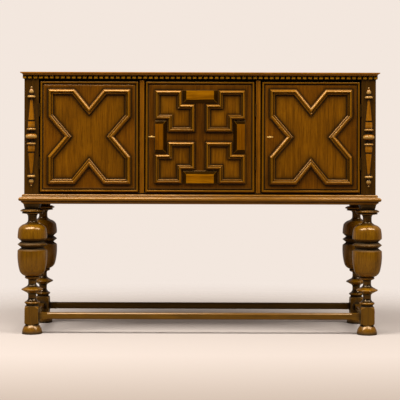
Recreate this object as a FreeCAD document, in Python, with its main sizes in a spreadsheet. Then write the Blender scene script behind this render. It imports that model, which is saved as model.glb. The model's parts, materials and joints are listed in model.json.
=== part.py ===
import FreeCAD, Part
import Sketcher
import math
import os
import re

# Hall cabinet: a three-door case on four cup-and-cover legs tied by stretchers.
# Millimetres, +Z up, the front faces -Y, the origin is on the floor under the middle.

SIZES = {
    # Case
    "carcass_width": 1470.0,
    "carcass_depth": 410.0,
    "carcass_height": 538.0,
    "post_width": 60.0,
    "post_depth": 60.0,
    "rail_thickness": 28.0,
    "rail_setback": 12.0,
    "bottom_rail_height": 46.0,
    "top_rail_height": 21.0,
    "frame_rail_height": 54.0,
    "panel_thickness": 8.0,
    "panel_setback": 8.0,
    "floor_thickness": 18.0,
    "partition_thickness": 18.0,
    "muntin_width": 18.0,
    "muntin_depth": 40.0,
    # Shelves and stops
    "shelf_thickness": 16.0,
    "shelf_height": 225.0,
    "shelf_setback": 75.0,
    "shelf_play": 0.5,
    "cleat_width": 14.0,
    "cleat_height": 18.0,
    "stop_length": 40.0,
    "stop_depth": 10.0,
    "stop_height": 14.0,
    "stop_inset": 60.0,
    "stop_play": 0.5,
    # Top and frieze
    "top_thickness": 13.0,
    "top_overhang": 15.5,
    "frieze_height": 14.0,
    "frieze_proud": 6.5,
    "dentil_height": 11.0,
    "dentil_width": 14.3,
    "dentil_gap": 8.65,
    "dentil_depth": 5.5,
    "quirk_depth": 4.0,
    # Base moulding
    "base_height": 40.0,
    "base_proud": 21.3,
    # Split balusters
    "bun_half": 10.5,
    "bun_radius": 24.0,
    "waist_height": 16.0,
    "waist_radius": 6.5,
    "collar_height": 7.5,
    "collar_radius": 19.5,
    "barrel_height": 28.5,
    "barrel_radius": 15.5,
    "quirk_height": 7.0,
    "quirk_radius": 9.5,
    "taper_height": 92.0,
    "taper_foot_radius": 13.0,
    "taper_neck_radius": 4.8,
    "cap_disc_height": 9.5,
    "cap_disc_radius": 17.0,
    "egg_height": 30.0,
    "egg_radius": 10.2,
    "tip_height": 8.0,
    "tip_radius": 4.3,
    # Legs, section by section from the floor
    "leg_inset_side": 30.4,
    "leg_inset_front": 34.0,
    "leg_inset_back": 36.0,
    "foot_height": 39.5,
    "foot_radius": 42.5,
    "foot_neck_radius": 26.0,
    "block_height": 79.5,
    "block_width": 57.0,
    "block_low_shoulder": 13.5,
    "block_high_shoulder": 21.5,
    "ankle_height": 25.0,
    "ankle_radius": 24.4,
    "ankle_collar_radius": 32.0,
    "low_neck_height": 27.0,
    "neck_radius": 17.0,
    "ring_height": 30.5,
    "ring_radius": 45.0,
    "cup_neck_height": 29.5,
    "cup_collar_height": 11.5,
    "cup_collar_radius": 31.0,
    "cup_height": 108.0,
    "bulb_radius": 61.6,
    "girdle_height": 52.0,
    "girdle_groove_radius": 46.0,
    "cover_height": 68.5,
    "high_neck_height": 32.5,
    "high_neck_radius": 18.5,
    "low_disc_height": 8.0,
    "low_disc_radius": 44.0,
    "high_disc_height": 12.5,
    "high_disc_radius": 50.5,
    "cap_height": 23.0,
    "cap_foot_width": 56.0,
    "cap_head_width": 67.0,
    "tenon_radius": 12.0,
    "tenon_height": 38.0,
    # Stretchers
    "stretcher_height": 28.0,
    "stretcher_depth": 24.0,
    "stretcher_chamfer": 5.0,
    "chamfer_stop": 36.0,
    "stretcher_tenon_length": 21.0,
    "stretcher_tenon_height": 19.0,
    "stretcher_tenon_depth": 9.0,
    "joint_clearance": 0.2,
    # Doors
    "door_thickness": 22.0,
    "middle_door_width": 456.0,
    "door_gap": 6.0,
    "door_foot_gap": 4.0,
    "door_head_gap": 4.0,
    "bead_width": 9.0,
    "bead_proud": 1.5,
    "bead_channel": 6.0,
    "rebate_depth": 6.0,
    # Crossed moulding of the side doors
    "cross_margin": 32.5,
    "cross_width": 21.5,
    "cross_height": 12.5,
    "vee_top_half": 61.0,
    "vee_top_depth": 75.0,
    "vee_side_half": 83.0,
    "vee_side_depth": 70.5,
    # Stepped frames and tablets of the middle door
    "frame_margin_side": 40.0,
    "frame_margin_end": 37.5,
    "frame_width": 17.0,
    "frame_height": 11.0,
    "bar_upright": 47.0,
    "bar_level": 43.0,
    "frame_notch_width": 54.0,
    "frame_notch_top": 58.5,
    "frame_notch_side": 52.5,
    "tablet_play": 4.0,
    "tablet_bevel": 16.0,
    "tablet_height": 9.0,
    # Butt hinges
    "hinge_inset": 95.0,
    "hinge_length": 50.0,
    "hinge_proud": 1.0,
    "knuckle_radius": 2.7,
    "pin_radius": 1.2,
    "pin_play": 0.05,
    "pin_head_radius": 2.4,
    "pin_head_height": 1.6,
    "knuckle_play": 0.3,
    "leaf_thickness": 1.5,
    "leaf_width": 15.0,
    "leaf_setback": 3.2,
    # Locks, bolts and keys
    "lock_backset_middle": 26.5,
    "lock_backset_right": 33.0,
    "lock_tail": 20.0,
    "lock_depth": 13.0,
    "lock_wall": 1.5,
    "lock_play": 0.2,
    "bolt_height": 9.0,
    "bolt_thickness": 5.0,
    "bolt_throw": 12.0,
    "bolt_play": 0.3,
    "mortise_play": 0.5,
    "key_reach": 34.0,
    "key_bow_width": 26.0,
    "key_bow_length": 21.0,
    "key_bow_rim": 5.0,
    "key_bow_thickness": 3.4,
    "key_collar_radius": 3.8,
    "key_collar_length": 4.0,
    "key_shank_radius": 2.2,
    "key_play": 0.4,
    "key_bit_reach": 9.0,
    "key_bit_length": 6.0,
    "key_bit_thickness": 2.0,
    # Sliding latch behind the left door
    "latch_plate_length": 46.0,
    "latch_plate_height": 26.0,
    "latch_plate_thickness": 1.5,
    "latch_edge": 4.0,
    "latch_strap": 5.0,
    "latch_bolt_length": 62.0,
    "latch_knob_radius": 4.0,
    "latch_knob_length": 7.0,
}

LAYOUT = {
    "half_width": "carcass_width / 2",
    "front_y": "(key_reach + leg_inset_back - carcass_depth - bulb_radius) / 2",
    "back_y": "front_y + carcass_depth",
    "block_z": "foot_height",
    "ankle_z": "block_z + block_height",
    "low_neck_z": "ankle_z + ankle_height",
    "ring_z": "low_neck_z + low_neck_height",
    "cup_neck_z": "ring_z + ring_height",
    "cup_collar_z": "cup_neck_z + cup_neck_height",
    "cup_z": "cup_collar_z + cup_collar_height",
    "girdle_z": "cup_z + cup_height",
    "cover_z": "girdle_z + girdle_height",
    "high_neck_z": "cover_z + cover_height",
    "low_disc_z": "high_neck_z + high_neck_height",
    "high_disc_z": "low_disc_z + low_disc_height",
    "cap_z": "high_disc_z + high_disc_height",
    "carcass_z": "cap_z + cap_height",
    "carcass_top_z": "carcass_z + carcass_height",
    "floor_top_z": "carcass_z + bottom_rail_height",
    "top_rail_z": "carcass_top_z - top_rail_height",
    "door_z": "floor_top_z + door_foot_gap",
    "door_top_z": "top_rail_z - door_head_gap",
    "door_height": "door_top_z - door_z",
    "door_mid_z": "(door_z + door_top_z) / 2",
    "door_back_y": "front_y + door_thickness",
    "hinge_y": "front_y - hinge_proud",
    "rail_front_y": "front_y + rail_setback",
    "rail_back_y": "rail_front_y + rail_thickness",
    "middle_half": "middle_door_width / 2",
    "muntin_inner": "middle_half + door_gap",
    "muntin_outer": "muntin_inner + muntin_width",
    "side_door_inner": "muntin_outer + door_gap",
    "side_door_outer": "half_width - post_width - door_gap",
    "side_door_width": "side_door_outer - side_door_inner",
    "side_door_mid": "(side_door_inner + side_door_outer) / 2",
    "partition_inner": "(muntin_inner + muntin_outer - partition_thickness) / 2",
    "partition_outer": "partition_inner + partition_thickness",
    "panel_outer": "half_width - panel_setback",
    "panel_inner": "panel_outer - panel_thickness",
    "back_panel_y": "back_y - panel_setback - panel_thickness",
    "shelf_z": "floor_top_z + shelf_height",
    "shelf_y": "front_y + shelf_setback",
    "leg_x": "half_width - leg_inset_side",
    "leg_front_y": "front_y + leg_inset_front",
    "leg_back_y": "back_y - leg_inset_back",
    "stretcher_mid_z": "block_z + (block_low_shoulder + block_height - block_high_shoulder) / 2",
    "lock_y": "door_back_y - lock_depth",
    "lock_bolt_y": "lock_y + (lock_depth - bolt_thickness) / 2",
    "lock_foot_z": "door_mid_z - key_bit_reach - mortise_play - lock_wall - lock_play",
    "lock_bolt_z": "door_mid_z + key_bit_reach + mortise_play",
    "lock_head_z": "lock_bolt_z + bolt_height + bolt_play + lock_wall + lock_play",
    "latch_bolt_y": "door_back_y + latch_plate_thickness + bolt_play",
    "latch_bolt_z": "door_mid_z - bolt_height / 2",
    "mortise_depth": "bolt_throw - door_gap + 2 * mortise_play",
}

doc = FreeCAD.newDocument("HallCabinet")
nodes = {}


def owned(formula):
    """Put the name of the table that holds it before each size in a formula."""
    def owner(match):
        word = match.group(0)
        if word in SIZES:
            return "Sizes." + word
        if word in LAYOUT:
            return "Layout." + word
        return word
    return re.sub(r"[A-Za-z_][A-Za-z_0-9]*", owner, formula)


def make_tables():
    """Write the driving sizes to a sheet and bind the places worked out from them."""
    table = doc.addObject("Spreadsheet::Sheet", "Sizes")
    for row, (name, number) in enumerate(SIZES.items(), start=1):
        table.set("A%d" % row, name)
        table.set("B%d" % row, str(number))
        table.setAlias("B%d" % row, name)
    places = doc.addObject("App::VarSet", "Layout")
    for name in LAYOUT:
        places.addProperty("App::PropertyFloat", name)
    for name, formula in LAYOUT.items():
        places.setExpression(name, owned(formula))
    doc.recompute()
    return table, places


sheet, layout = make_tables()


def size(name):
    """Return the number that a size or a place holds."""
    if name in SIZES:
        return float(sheet.get(name))
    return float(getattr(layout, name))


def keep(item, label):
    """Enter a finished object as the sub-part with this label."""
    item.Label = label
    nodes[label] = item
    return item


def span(low, high, side):
    """Return two formulas in order, mirrored for the left side."""
    if side > 0:
        return low, high
    return "-(%s)" % high, "-(%s)" % low


def box(name, across, deep, tall):
    """Add a block that runs between two formulas on each axis."""
    item = doc.addObject("Part::Box", name)
    for size_name, axis, (low, high) in zip(("Length", "Width", "Height"), "xyz", (across, deep, tall)):
        item.setExpression(size_name, owned("(%s) - (%s)" % (high, low)))
        item.setExpression("Placement.Base." + axis, owned(low))
    return item


def upright_cylinder(name, radius, height, place):
    """Add a vertical cylinder whose radius, height and foot are formulas."""
    item = doc.addObject("Part::Cylinder", name)
    item.setExpression("Radius", owned(radius))
    item.setExpression("Height", owned(height))
    for axis, formula in zip("xyz", place):
        item.setExpression("Placement.Base." + axis, owned(formula))
    return item


def cross_cylinder(name, radius, length, place):
    """Add a cylinder that runs back along +Y from its place."""
    item = upright_cylinder(name, radius, length, place)
    item.Placement.Rotation = FreeCAD.Rotation(FreeCAD.Vector(1, 0, 0), -90)
    return item


def fuse(name, items):
    """Join several objects into one."""
    item = doc.addObject("Part::MultiFuse", name)
    item.Shapes = items
    item.Refine = True
    return item


def cut(name, base, tools):
    """Take one or more objects out of a base object."""
    item = doc.addObject("Part::Cut", name)
    item.Base = base
    item.Tool = tools[0] if len(tools) == 1 else fuse(name + "_tools", tools)
    return item


def group(name, items):
    """Hold several separate solids as one sub-part."""
    item = doc.addObject("Part::Compound", name)
    item.Links = items
    return item


def shape_object(name, shape, place=None, turn=None):
    """Add an object with a ready shape, then place it."""
    item = doc.addObject("Part::Feature", name)
    item.Shape = shape
    item.Placement = FreeCAD.Placement(place or FreeCAD.Vector(), turn or FreeCAD.Rotation())
    return item


def section(path):
    """Close straight runs (two numbers) and three-point arcs (four) into a face on the XZ plane."""
    first = FreeCAD.Vector(path[0][0], 0, path[0][1])
    here = first
    edges = []
    for step in path[1:]:
        end = FreeCAD.Vector(step[-2], 0, step[-1])
        if len(step) == 4:
            through = FreeCAD.Vector(step[0], 0, step[1])
            edges.append(Part.Arc(here, through, end).toShape())
        else:
            edges.append(Part.LineSegment(here, end).toShape())
        here = end
    edges.append(Part.LineSegment(here, first).toShape())
    return Part.Face(Part.Wire(edges))


def scaled(path, wide, tall):
    """Stretch a path drawn on a unit square to a width and a height."""
    factors = (wide, tall, wide, tall)
    return [tuple(number * factor for number, factor in zip(step, factors)) for step in path]


def mitred_sticks(outline, profile, closed=True):
    """Cut one stick per side of a counter-clockwise outline, mitred where the sides meet.

    The profile's X runs outwards from the outline and its Z stands up from the plane.
    """
    corners = [FreeCAD.Vector(x, y, 0) for x, y in outline]
    count = len(corners) if closed else len(corners) - 1
    ways = []
    outs = []
    for index in range(count):
        way = (corners[(index + 1) % len(corners)] - corners[index]).normalize()
        ways.append(way)
        outs.append(FreeCAD.Vector(way.y, -way.x, 0))
    limits = profile.BoundBox
    low = limits.XMin - 1
    high = limits.XMax + 1
    reach = 4 * (abs(low) + abs(high))
    sticks = []
    for index in range(count):
        start = corners[index]
        end = corners[(index + 1) % len(corners)]
        out = outs[index]
        before = outs[index - 1] if closed or index > 0 else out
        after = outs[(index + 1) % count] if closed or index < count - 1 else out
        slant_start = (before + out) * (1 / (1 + before.dot(out)))
        slant_end = (after + out) * (1 / (1 + after.dot(out)))
        bar = profile.extrude(FreeCAD.Vector(0, (end - start).Length + 2 * reach, 0))
        turn = FreeCAD.Rotation(FreeCAD.Vector(0, 0, 1), math.degrees(math.atan2(out.y, out.x)))
        bar.Placement = FreeCAD.Placement(start - ways[index] * reach, turn)
        plan = [start + slant_start * low, end + slant_end * low]
        plan += [end + slant_end * high, start + slant_start * high]
        lift = FreeCAD.Vector(0, 0, limits.ZMin - 1)
        plan = [point + lift for point in plan]
        prism = Part.Face(Part.makePolygon(plan + plan[:1]))
        prism = prism.extrude(FreeCAD.Vector(0, 0, limits.ZLength + 2))
        sticks.append(bar.common(prism).Solids[0])
    return sticks


def door_face():
    """Return the turn that stands a flat drawing up as the front of a door."""
    return FreeCAD.Rotation(FreeCAD.Vector(1, 0, 0), 90)


def turned(name, path, angle=360):
    """Spin a half outline about the vertical axis."""
    outline = shape_object(name + "_outline", section(path))
    item = doc.addObject("Part::Revolution", name)
    item.Source = outline
    item.Axis = FreeCAD.Vector(0, 0, -1)
    item.Angle = angle
    item.Solid = True
    return item


# Case frame

def corner_posts():
    """Four corner posts, each bored from below for a leg's round tenon."""
    ends = {
        "front": ("front_y", "front_y + post_depth", "leg_front_y"),
        "rear": ("back_y - post_depth", "back_y", "leg_back_y"),
    }
    for row, (low, high, leg_y) in ends.items():
        for hand, side in (("left", -1), ("right", 1)):
            label = "post_%s_%s" % (row, hand)
            across = span("half_width - post_width", "half_width", side)
            block = box(label + "_block", across, (low, high), ("carcass_z", "carcass_top_z"))
            bore = upright_cylinder(
                label + "_socket",
                "tenon_radius + joint_clearance",
                "tenon_height + joint_clearance",
                ("%d * leg_x" % side, leg_y, "carcass_z"),
            )
            keep(cut(label, block, [bore]), label)


def case_rails():
    """Front rails set back behind the doors, and the end and back rails flush outside."""
    between = ("post_width - half_width", "half_width - post_width")
    deep = ("rail_front_y", "rail_back_y")
    keep(box("top_rail_front", between, deep, ("top_rail_z", "carcass_top_z")), "top_rail_front")
    keep(box("bottom_rail_front", between, deep, ("carcass_z", "floor_top_z")), "bottom_rail_front")
    levels = {
        "bottom": ("carcass_z", "floor_top_z"),
        "top": ("carcass_top_z - frame_rail_height", "carcass_top_z"),
    }
    rails = []
    for level, tall in levels.items():
        behind = ("back_y - rail_thickness", "back_y")
        rails.append(box("back_rail_" + level, between, behind, tall))
        for hand, side in (("left", -1), ("right", 1)):
            across = span("half_width - rail_thickness", "half_width", side)
            run = ("front_y + post_depth", "back_y - post_depth")
            rails.append(box("end_rail_%s_%s" % (level, hand), across, run, tall))
    keep(group("end_and_back_rails", rails), "end_and_back_rails")


def case_panels():
    """Sunk panels in the two ends and the back."""
    tall = ("floor_top_z", "carcass_top_z - frame_rail_height")
    run = ("front_y + post_depth", "back_y - post_depth")
    for hand, side in (("left", -1), ("right", 1)):
        across = span("panel_inner", "panel_outer", side)
        label = "end_panel_" + hand
        keep(box(label, across, run, tall), label)
    across = ("post_width - half_width", "half_width - post_width")
    deep = ("back_panel_y", "back_y - panel_setback")
    keep(box("back_panel", across, deep, tall), "back_panel")


def case_floor():
    """Floor board, notched at its corners round the posts."""
    inside = ("rail_thickness - half_width", "half_width - rail_thickness")
    deep = ("rail_back_y", "back_y - rail_thickness")
    board = box("case_floor_board", inside, deep, ("floor_top_z - floor_thickness", "floor_top_z"))
    notches = []
    rows = {"front": ("front_y", "front_y + post_depth"), "rear": ("back_y - post_depth", "back_y")}
    for row, run in rows.items():
        for hand, side in (("left", -1), ("right", 1)):
            across = span("half_width - post_width", "half_width", side)
            notches.append(box("floor_notch_%s_%s" % (row, hand), across, run, ("carcass_z", "carcass_top_z")))
    keep(cut("bottom_board", board, notches), "bottom_board")


def muntins_and_partition():
    """Two upright muntins between the doors, mortised for the bolts, and the partition behind one."""
    tall = ("floor_top_z", "top_rail_z")
    deep = ("front_y", "front_y + muntin_depth")
    lock_run = ("lock_bolt_y - mortise_play", "lock_bolt_y + bolt_thickness + mortise_play")
    lock_tall = ("lock_bolt_z - mortise_play", "lock_bolt_z + bolt_height + mortise_play")
    latch_run = ("latch_bolt_y - mortise_play", "latch_bolt_y + bolt_thickness + mortise_play")
    latch_tall = ("latch_bolt_z - mortise_play", "latch_bolt_z + bolt_height + mortise_play")
    left = box("muntin_left_bar", ("-muntin_outer", "-muntin_inner"), deep, tall)
    mortises = [
        box("mortise_middle", ("-muntin_inner - mortise_depth", "-muntin_inner"), lock_run, lock_tall),
        box("mortise_left", ("-muntin_outer", "mortise_depth - muntin_outer"), latch_run, latch_tall),
    ]
    keep(cut("muntin_left", left, mortises), "muntin_left")
    right = box("muntin_right_bar", ("muntin_inner", "muntin_outer"), deep, tall)
    socket = box("mortise_right", ("muntin_outer - mortise_depth", "muntin_outer"), lock_run, lock_tall)
    keep(cut("muntin_right", right, [socket]), "muntin_right")
    across = ("partition_inner", "partition_outer")
    run = ("front_y + muntin_depth", "back_panel_y")
    board = box("partition_board", across, run, ("floor_top_z", "carcass_top_z"))
    behind = ("back_y - rail_thickness", "back_y")
    notch = box("partition_notch", across, behind, ("carcass_top_z - frame_rail_height", "carcass_top_z"))
    keep(cut("partition", board, [notch]), "partition")


def shelves():
    """A wide shelf behind two doors and a narrow one behind the third, on cleats, and the door stops."""
    tall = ("shelf_z", "shelf_z + shelf_thickness")
    run = ("shelf_y", "back_panel_y - shelf_play")
    corner = ("back_y - post_depth - shelf_play", "back_y")
    wide = box("shelf_wide_board", ("shelf_play - panel_inner", "partition_inner - shelf_play"), run, tall)
    notch = box("shelf_wide_notch", ("-half_width", "post_width - half_width + shelf_play"), corner, tall)
    keep(cut("shelf_wide", wide, [notch]), "shelf_wide")
    narrow = box("shelf_narrow_board", ("partition_outer + shelf_play", "panel_inner - shelf_play"), run, tall)
    notch = box("shelf_narrow_notch", ("half_width - post_width - shelf_play", "half_width"), corner, tall)
    keep(cut("shelf_narrow", narrow, [notch]), "shelf_narrow")
    under = ("shelf_z - cleat_height", "shelf_z")
    ends = ("shelf_y", "back_y - post_depth")
    inner = ("shelf_y", "back_panel_y")
    cleats = [
        box("cleat_left", ("-panel_inner", "cleat_width - panel_inner"), ends, under),
        box("cleat_partition_left", ("partition_inner - cleat_width", "partition_inner"), inner, under),
        box("cleat_partition_right", ("partition_outer", "partition_outer + cleat_width"), inner, under),
        box("cleat_right", ("panel_inner - cleat_width", "panel_inner"), ends, under),
    ]
    keep(group("shelf_cleats", cleats), "shelf_cleats")
    stops = []
    low = ("floor_top_z", "floor_top_z + stop_height")
    run = ("door_back_y + stop_play", "door_back_y + stop_play + stop_depth")
    starts = {
        "left": "-side_door_inner - stop_inset - stop_length",
        "middle": "stop_inset - middle_half",
        "right": "side_door_inner + stop_inset",
    }
    for door, start in starts.items():
        stops.append(box("door_stop_" + door, (start, start + " + stop_length"), run, low))
    keep(group("door_stops", stops), "door_stops")


# Top, frieze and base moulding

TOP_EDGE = [(0.42, 0), (0.42, 0.12), (0.53, 0.43, 0.8, 0.62), (1, 0.68), (1, 1)]
BASE_SECTION = [
    (0, 0), (0.165, 0), (0.4, 0.138), (0.56, 0.21, 0.48, 0.28), (0.64, 0.29),
    (1, 0.495, 0.66, 0.705), (0.535, 0.705), (0.405, 0.745, 0.375, 0.815), (0.345, 0.94, 0.15, 1), (0, 1),
]


def shifted(path, distance):
    """Move a path outwards."""
    return [tuple(number + distance * (1 - index % 2) for index, number in enumerate(step)) for step in path]


def mirrored(path, flip_x, flip_z):
    """Walk a path from its end back to its start, with either axis turned round."""
    ends = [(flip_x * step[-2], flip_z * step[-1]) for step in path]
    walk = [ends[-1]]
    for index in range(len(path) - 1, 0, -1):
        step = path[index]
        through = (flip_x * step[0], flip_z * step[1]) if len(step) == 4 else ()
        walk.append(through + ends[index - 1])
    return walk


def top_board():
    """Top board whose moulded edge runs along the front and both ends."""
    tall = size("top_thickness")
    overhang = size("top_overhang")
    half = size("half_width")
    edge = scaled(TOP_EDGE, overhang, tall)
    right = shifted(edge, half)
    run = size("carcass_depth") + overhang
    ends = section(right + mirrored(right, -1, 1)).extrude(FreeCAD.Vector(0, run, 0))
    ends.translate(FreeCAD.Vector(0, size("front_y") - overhang, 0))
    behind = [(-size("back_y"), tall), (-size("back_y"), 0)]
    along = section(shifted(edge, -size("front_y")) + behind)
    front = along.extrude(FreeCAD.Vector(0, 2 * (half + overhang), 0))
    quarter = FreeCAD.Rotation(FreeCAD.Vector(0, 0, 1), -90)
    front.Placement = FreeCAD.Placement(FreeCAD.Vector(-half - overhang, 0, 0), quarter)
    board = ends.common(front).Solids[0]
    keep(shape_object("top_board", board, FreeCAD.Vector(0, 0, size("carcass_top_z"))), "top_board")


def flat_sketch(body, name, role):
    """Add a sketch on one of a body's own base planes."""
    sketch = body.newObject("Sketcher::SketchObject", name)
    plane = [item for item in body.Origin.OriginFeatures if item.Role == role][0]
    sketch.AttachmentSupport = [(plane, "")]
    sketch.MapMode = "FlatFace"
    return sketch


def rectangle(sketch, left, foot, wide, tall):
    """Draw a rectangle; left and foot are formulas, or None on the axis."""
    corners = [FreeCAD.Vector(*point) for point in ((1, 1, 0), (9, 1, 0), (9, 9, 0), (1, 9, 0))]
    for index in range(4):
        sketch.addGeometry(Part.LineSegment(corners[index], corners[(index + 1) % 4]), False)
    for index in range(4):
        sketch.addConstraint(Sketcher.Constraint("Coincident", index, 2, (index + 1) % 4, 1))
        sketch.addConstraint(Sketcher.Constraint("Vertical" if index % 2 else "Horizontal", index))
    for formula, kind, axis in ((left, "DistanceX", -2), (foot, "DistanceY", -1)):
        if formula is None:
            sketch.addConstraint(Sketcher.Constraint("PointOnObject", 0, 1, axis))
        else:
            place = sketch.addConstraint(Sketcher.Constraint(kind, -1, 1, 0, 1, 1.0))
            sketch.setExpression("Constraints[%d]" % place, owned(formula))
    for formula, kind, line in ((wide, "DistanceX", 0), (tall, "DistanceY", 1)):
        place = sketch.addConstraint(Sketcher.Constraint(kind, line, 1, line, 2, 8.0))
        sketch.setExpression("Constraints[%d]" % place, owned(formula))


def frieze_strip(label, run, tongue, place, turn):
    """Strip with sawn dentils; its face is at Y 0 before it is placed."""
    body = doc.addObject("PartDesign::Body", label)
    blank = flat_sketch(body, label + "_blank", "XZ_Plane")
    rectangle(blank, None, None, run, "frieze_height")
    strip = body.newObject("PartDesign::Pad", label + "_strip")
    strip.Profile = blank
    strip.Reversed = True
    strip.setExpression("Length", owned("frieze_proud"))
    if tongue:
        end = "post_width + frieze_proud"
        inner = flat_sketch(body, label + "_inner", "XZ_Plane")
        rectangle(inner, end, None, "(%s) - 2 * (%s)" % (run, end), "frieze_height")
        filler = body.newObject("PartDesign::Pad", label + "_tongue")
        filler.Profile = inner
        filler.Reversed = True
        filler.setExpression("Length", owned("frieze_proud + rail_setback"))
    above = flat_sketch(body, label + "_above", "XZ_Plane")
    rectangle(above, None, "dentil_height", run, "frieze_height - dentil_height")
    quirk = body.newObject("PartDesign::Pocket", label + "_quirk")
    quirk.Profile = above
    quirk.setExpression("Length", owned("quirk_depth"))
    plan = flat_sketch(body, label + "_plan", "XY_Plane")
    count = "floor(((%s) - dentil_width) / (dentil_width + dentil_gap) + 0.5)" % run
    pitch = "(((%s) - dentil_width) / %s)" % (run, count)
    rectangle(plan, "dentil_width", None, pitch + " - dentil_width", "dentil_depth")
    gap = body.newObject("PartDesign::Pocket", label + "_gap")
    gap.Profile = plan
    gap.Reversed = True
    gap.setExpression("Length", owned("dentil_height"))
    row = body.newObject("PartDesign::LinearPattern", label + "_row")
    row.Originals = [gap]
    row.Direction = (plan, ["H_Axis"])
    row.setExpression("Occurrences", owned(count))
    row.setExpression("Length", owned("(%s - 1) * %s" % (count, pitch)))
    body.Tip = row
    body.Placement.Rotation = FreeCAD.Rotation(FreeCAD.Vector(0, 0, 1), turn)
    for axis, formula in zip("xyz", place):
        body.setExpression("Placement.Base." + axis, owned(formula))
    keep(body, label)


def frieze():
    """Dentil course under the top, along the front and both ends."""
    foot = "carcass_top_z - frieze_height"
    edge = "half_width + frieze_proud"
    front = ("-(%s)" % edge, "front_y - frieze_proud", foot)
    frieze_strip("frieze_front", "2 * (%s)" % edge, True, front, 0)
    frieze_strip("frieze_right", "carcass_depth", False, (edge, "front_y", foot), 90)
    frieze_strip("frieze_left", "carcass_depth", False, ("-(%s)" % edge, "back_y", foot), -90)


def base_moulding():
    """Mitred base moulding along the front and both ends, with a tongue back to the front rail."""
    half = size("half_width")
    front = size("front_y")
    back = size("back_y")
    tall = size("base_height")
    outline = [(-half, back), (-half, front), (half, front), (half, back)]
    profile = section(scaled(BASE_SECTION, size("base_proud"), tall))
    left, middle, right = mitred_sticks(outline, profile, closed=False)
    inside = half - size("post_width")
    corner = FreeCAD.Vector(-inside, front, 0)
    tongue = Part.makeBox(2 * inside, size("rail_setback"), tall, corner)
    middle = middle.fuse(tongue).removeSplitter().Solids[0]
    foot = FreeCAD.Vector(0, 0, size("carcass_z"))
    for label, stick in (("base_left", left), ("base_front", middle), ("base_right", right)):
        keep(shape_object(label, stick, foot), label)


# Turned work

def baluster_path():
    """Half outline of a split baluster, alike above and below its bun."""
    bun = size("bun_radius")
    waist = size("waist_radius")
    collar = size("collar_radius")
    barrel = size("barrel_radius")
    disc = size("cap_disc_radius")
    egg = size("egg_radius")
    tip = size("tip_radius")
    bun_z = size("bun_half")
    collar_z = bun_z + size("waist_height")
    barrel_z = collar_z + size("collar_height")
    quirk_z = barrel_z + size("barrel_height")
    taper_z = quirk_z + size("quirk_height")
    disc_z = taper_z + size("taper_height")
    egg_z = disc_z + size("cap_disc_height")
    tip_z = egg_z + size("egg_height")
    end_z = tip_z + size("tip_height")
    upper = [
        (bun, 0),
        (0.9 * bun, 0.7 * bun_z, 0.66 * bun, bun_z),
        (waist, 1.1 * bun_z),
        (waist, collar_z),
        (0.88 * collar, collar_z),
        (collar, (collar_z + barrel_z) / 2, 0.88 * collar, barrel_z),
        (0.92 * barrel, barrel_z),
        (barrel, (barrel_z + quirk_z) / 2, 0.92 * barrel, quirk_z),
        (size("quirk_radius"), quirk_z),
        (size("quirk_radius"), taper_z),
        (size("taper_foot_radius"), taper_z),
        (size("taper_neck_radius"), disc_z),
        (0.8 * disc, disc_z),
        (disc, (disc_z + egg_z) / 2, 0.8 * disc, egg_z),
        (0.55 * egg, egg_z),
        (0.55 * egg, 0.83 * egg_z + 0.17 * tip_z),
        (egg, 0.42 * egg_z + 0.58 * tip_z, 0.5 * tip, tip_z),
        (tip, 0.6 * tip_z + 0.4 * end_z, 0.2 * tip, end_z),
        (0, end_z),
    ]
    return mirrored(upper, 1, -1) + upper[1:]


def balusters():
    """Split balusters planted on the two front posts."""
    for hand, side in (("left", -1), ("right", 1)):
        label = "baluster_" + hand
        item = turned(label, baluster_path(), 180)
        item.setExpression("Placement.Base.x", owned("%d * (half_width - post_width / 2)" % side))
        item.setExpression("Placement.Base.y", owned("front_y"))
        item.setExpression("Placement.Base.z", owned("door_mid_z"))
        keep(item, label)


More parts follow.
